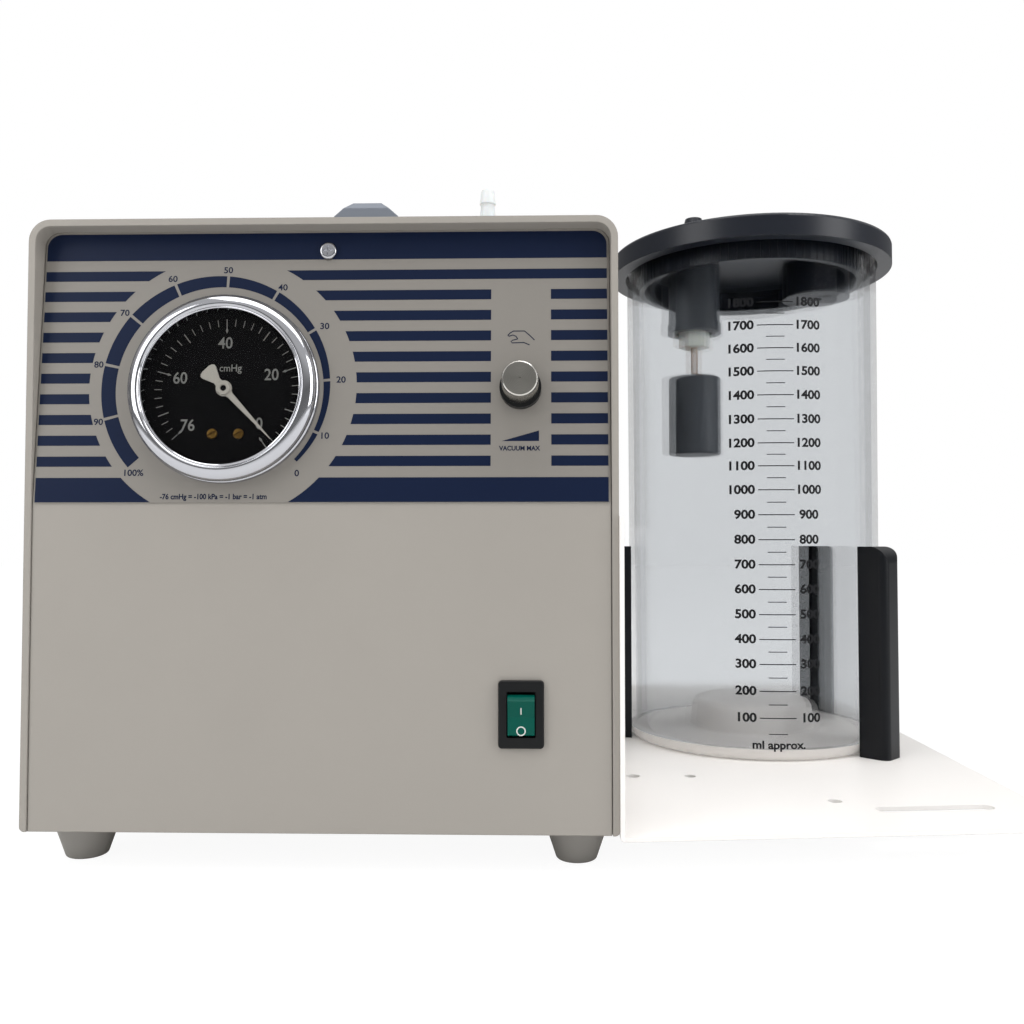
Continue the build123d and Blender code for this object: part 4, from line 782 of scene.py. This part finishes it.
# The room: white where the camera looks, and grey round the sides for the light and the gloss

FLOOR_SIZE, FLOOR_GREY, FLOOR_ROUGH = 8.0, 0.85, 0.9
FLOOR_GLOW, GLOW_SHARE = 1.1, 0.85
SKY_STRENGTH = 0.66
SKY = ((0.3, 0.42), (0.55, 0.3), (0.75, 1.0))
SKY_LOW, SKY_HIGH = -0.4, 0.8


def looked_at(tree):
    """One for rays from the camera, also through clear pieces, and zero for the others."""
    rays = tree.nodes.new("ShaderNodeLightPath")
    either = tree.nodes.new("ShaderNodeMath")
    either.operation = "MAXIMUM"
    tree.links.new(rays.outputs["Is Camera Ray"], either.inputs[0])
    tree.links.new(rays.outputs["Is Transmission Ray"], either.inputs[1])
    return either.outputs["Value"]


world = bpy.data.worlds.new("room")
scene.world = world
world.use_nodes = True
tree = world.node_tree
tree.nodes.clear()
add, join = tree.nodes.new, tree.links.new
where = add("ShaderNodeTexCoord")
split = add("ShaderNodeSeparateXYZ")
join(where.outputs["Generated"], split.inputs["Vector"])
level = add("ShaderNodeMapRange")
level.inputs["From Min"].default_value = SKY_LOW
level.inputs["From Max"].default_value = SKY_HIGH
join(split.outputs["Z"], level.inputs["Value"])
ramp = add("ShaderNodeValToRGB")
stops = ramp.color_ramp.elements
(first, first_grey), (middle, middle_grey), (last, last_grey) = SKY
stops[0].position = first
stops[0].color = (first_grey, first_grey, first_grey, 1)
stops[1].position = last
stops[1].color = (last_grey, last_grey, last_grey, 1)
stops.new(middle).color = (middle_grey, middle_grey, middle_grey, 1)
join(level.outputs["Result"], ramp.inputs["Fac"])
dim = add("ShaderNodeBackground")
dim.inputs["Strength"].default_value = SKY_STRENGTH
join(ramp.outputs["Color"], dim.inputs["Color"])
white = add("ShaderNodeBackground")
white.inputs["Color"].default_value = (1, 1, 1, 1)
white.inputs["Strength"].default_value = 1.0
choose = add("ShaderNodeMixShader")
join(looked_at(tree), choose.inputs["Fac"])
join(dim.outputs["Background"], choose.inputs[1])
join(white.outputs["Background"], choose.inputs[2])
out = add("ShaderNodeOutputWorld")
join(choose.outputs["Shader"], out.inputs["Surface"])

bpy.ops.mesh.primitive_plane_add(size=FLOOR_SIZE, location=(0, 0, 0))
floor = bpy.context.object
floor.name = "floor"
pale = bpy.data.materials.new("pale_floor")
pale.use_nodes = True
tree = pale.node_tree
add, join = tree.nodes.new, tree.links.new
shader = tree.nodes["Principled BSDF"]
shader.inputs["Base Color"].default_value = (FLOOR_GREY, FLOOR_GREY, FLOOR_GREY, 1)
shader.inputs["Roughness"].default_value = FLOOR_ROUGH
glow = add("ShaderNodeEmission")
glow.inputs["Strength"].default_value = FLOOR_GLOW
share = add("ShaderNodeMath")
share.operation = "MULTIPLY"
share.inputs[1].default_value = GLOW_SHARE
join(looked_at(tree), share.inputs[0])
blend = add("ShaderNodeMixShader")
join(share.outputs["Value"], blend.inputs["Fac"])
join(shader.outputs["BSDF"], blend.inputs[1])
join(glow.outputs["Emission"], blend.inputs[2])
join(blend.outputs["Shader"], tree.nodes["Material Output"].inputs["Surface"])
floor.data.materials.append(pale)


def lamp(name, place, target, size, power):
    data = bpy.data.lights.new(name, "AREA")
    data.shape = "RECTANGLE"
    data.size, data.size_y = size
    data.energy = power
    obj = bpy.data.objects.new(name, data)
    obj.location = place
    toward = Vector(target) - Vector(place)
    obj.rotation_euler = toward.to_track_quat("-Z", "Y").to_euler()
    scene.collection.objects.link(obj)


lamp("lamp_top", (0.1, -0.35, 1.3), (0, 0, 0.1), (1.4, 0.9), 11)
lamp("lamp_left", (-1.1, -0.9, 0.7), (0, 0, 0.12), (0.7, 1.0), 7)
lamp("lamp_right", (1.2, -0.7, 0.6), (0.08, 0, 0.12), (0.6, 1.0), 7)

scene.view_settings.view_transform = "Standard"
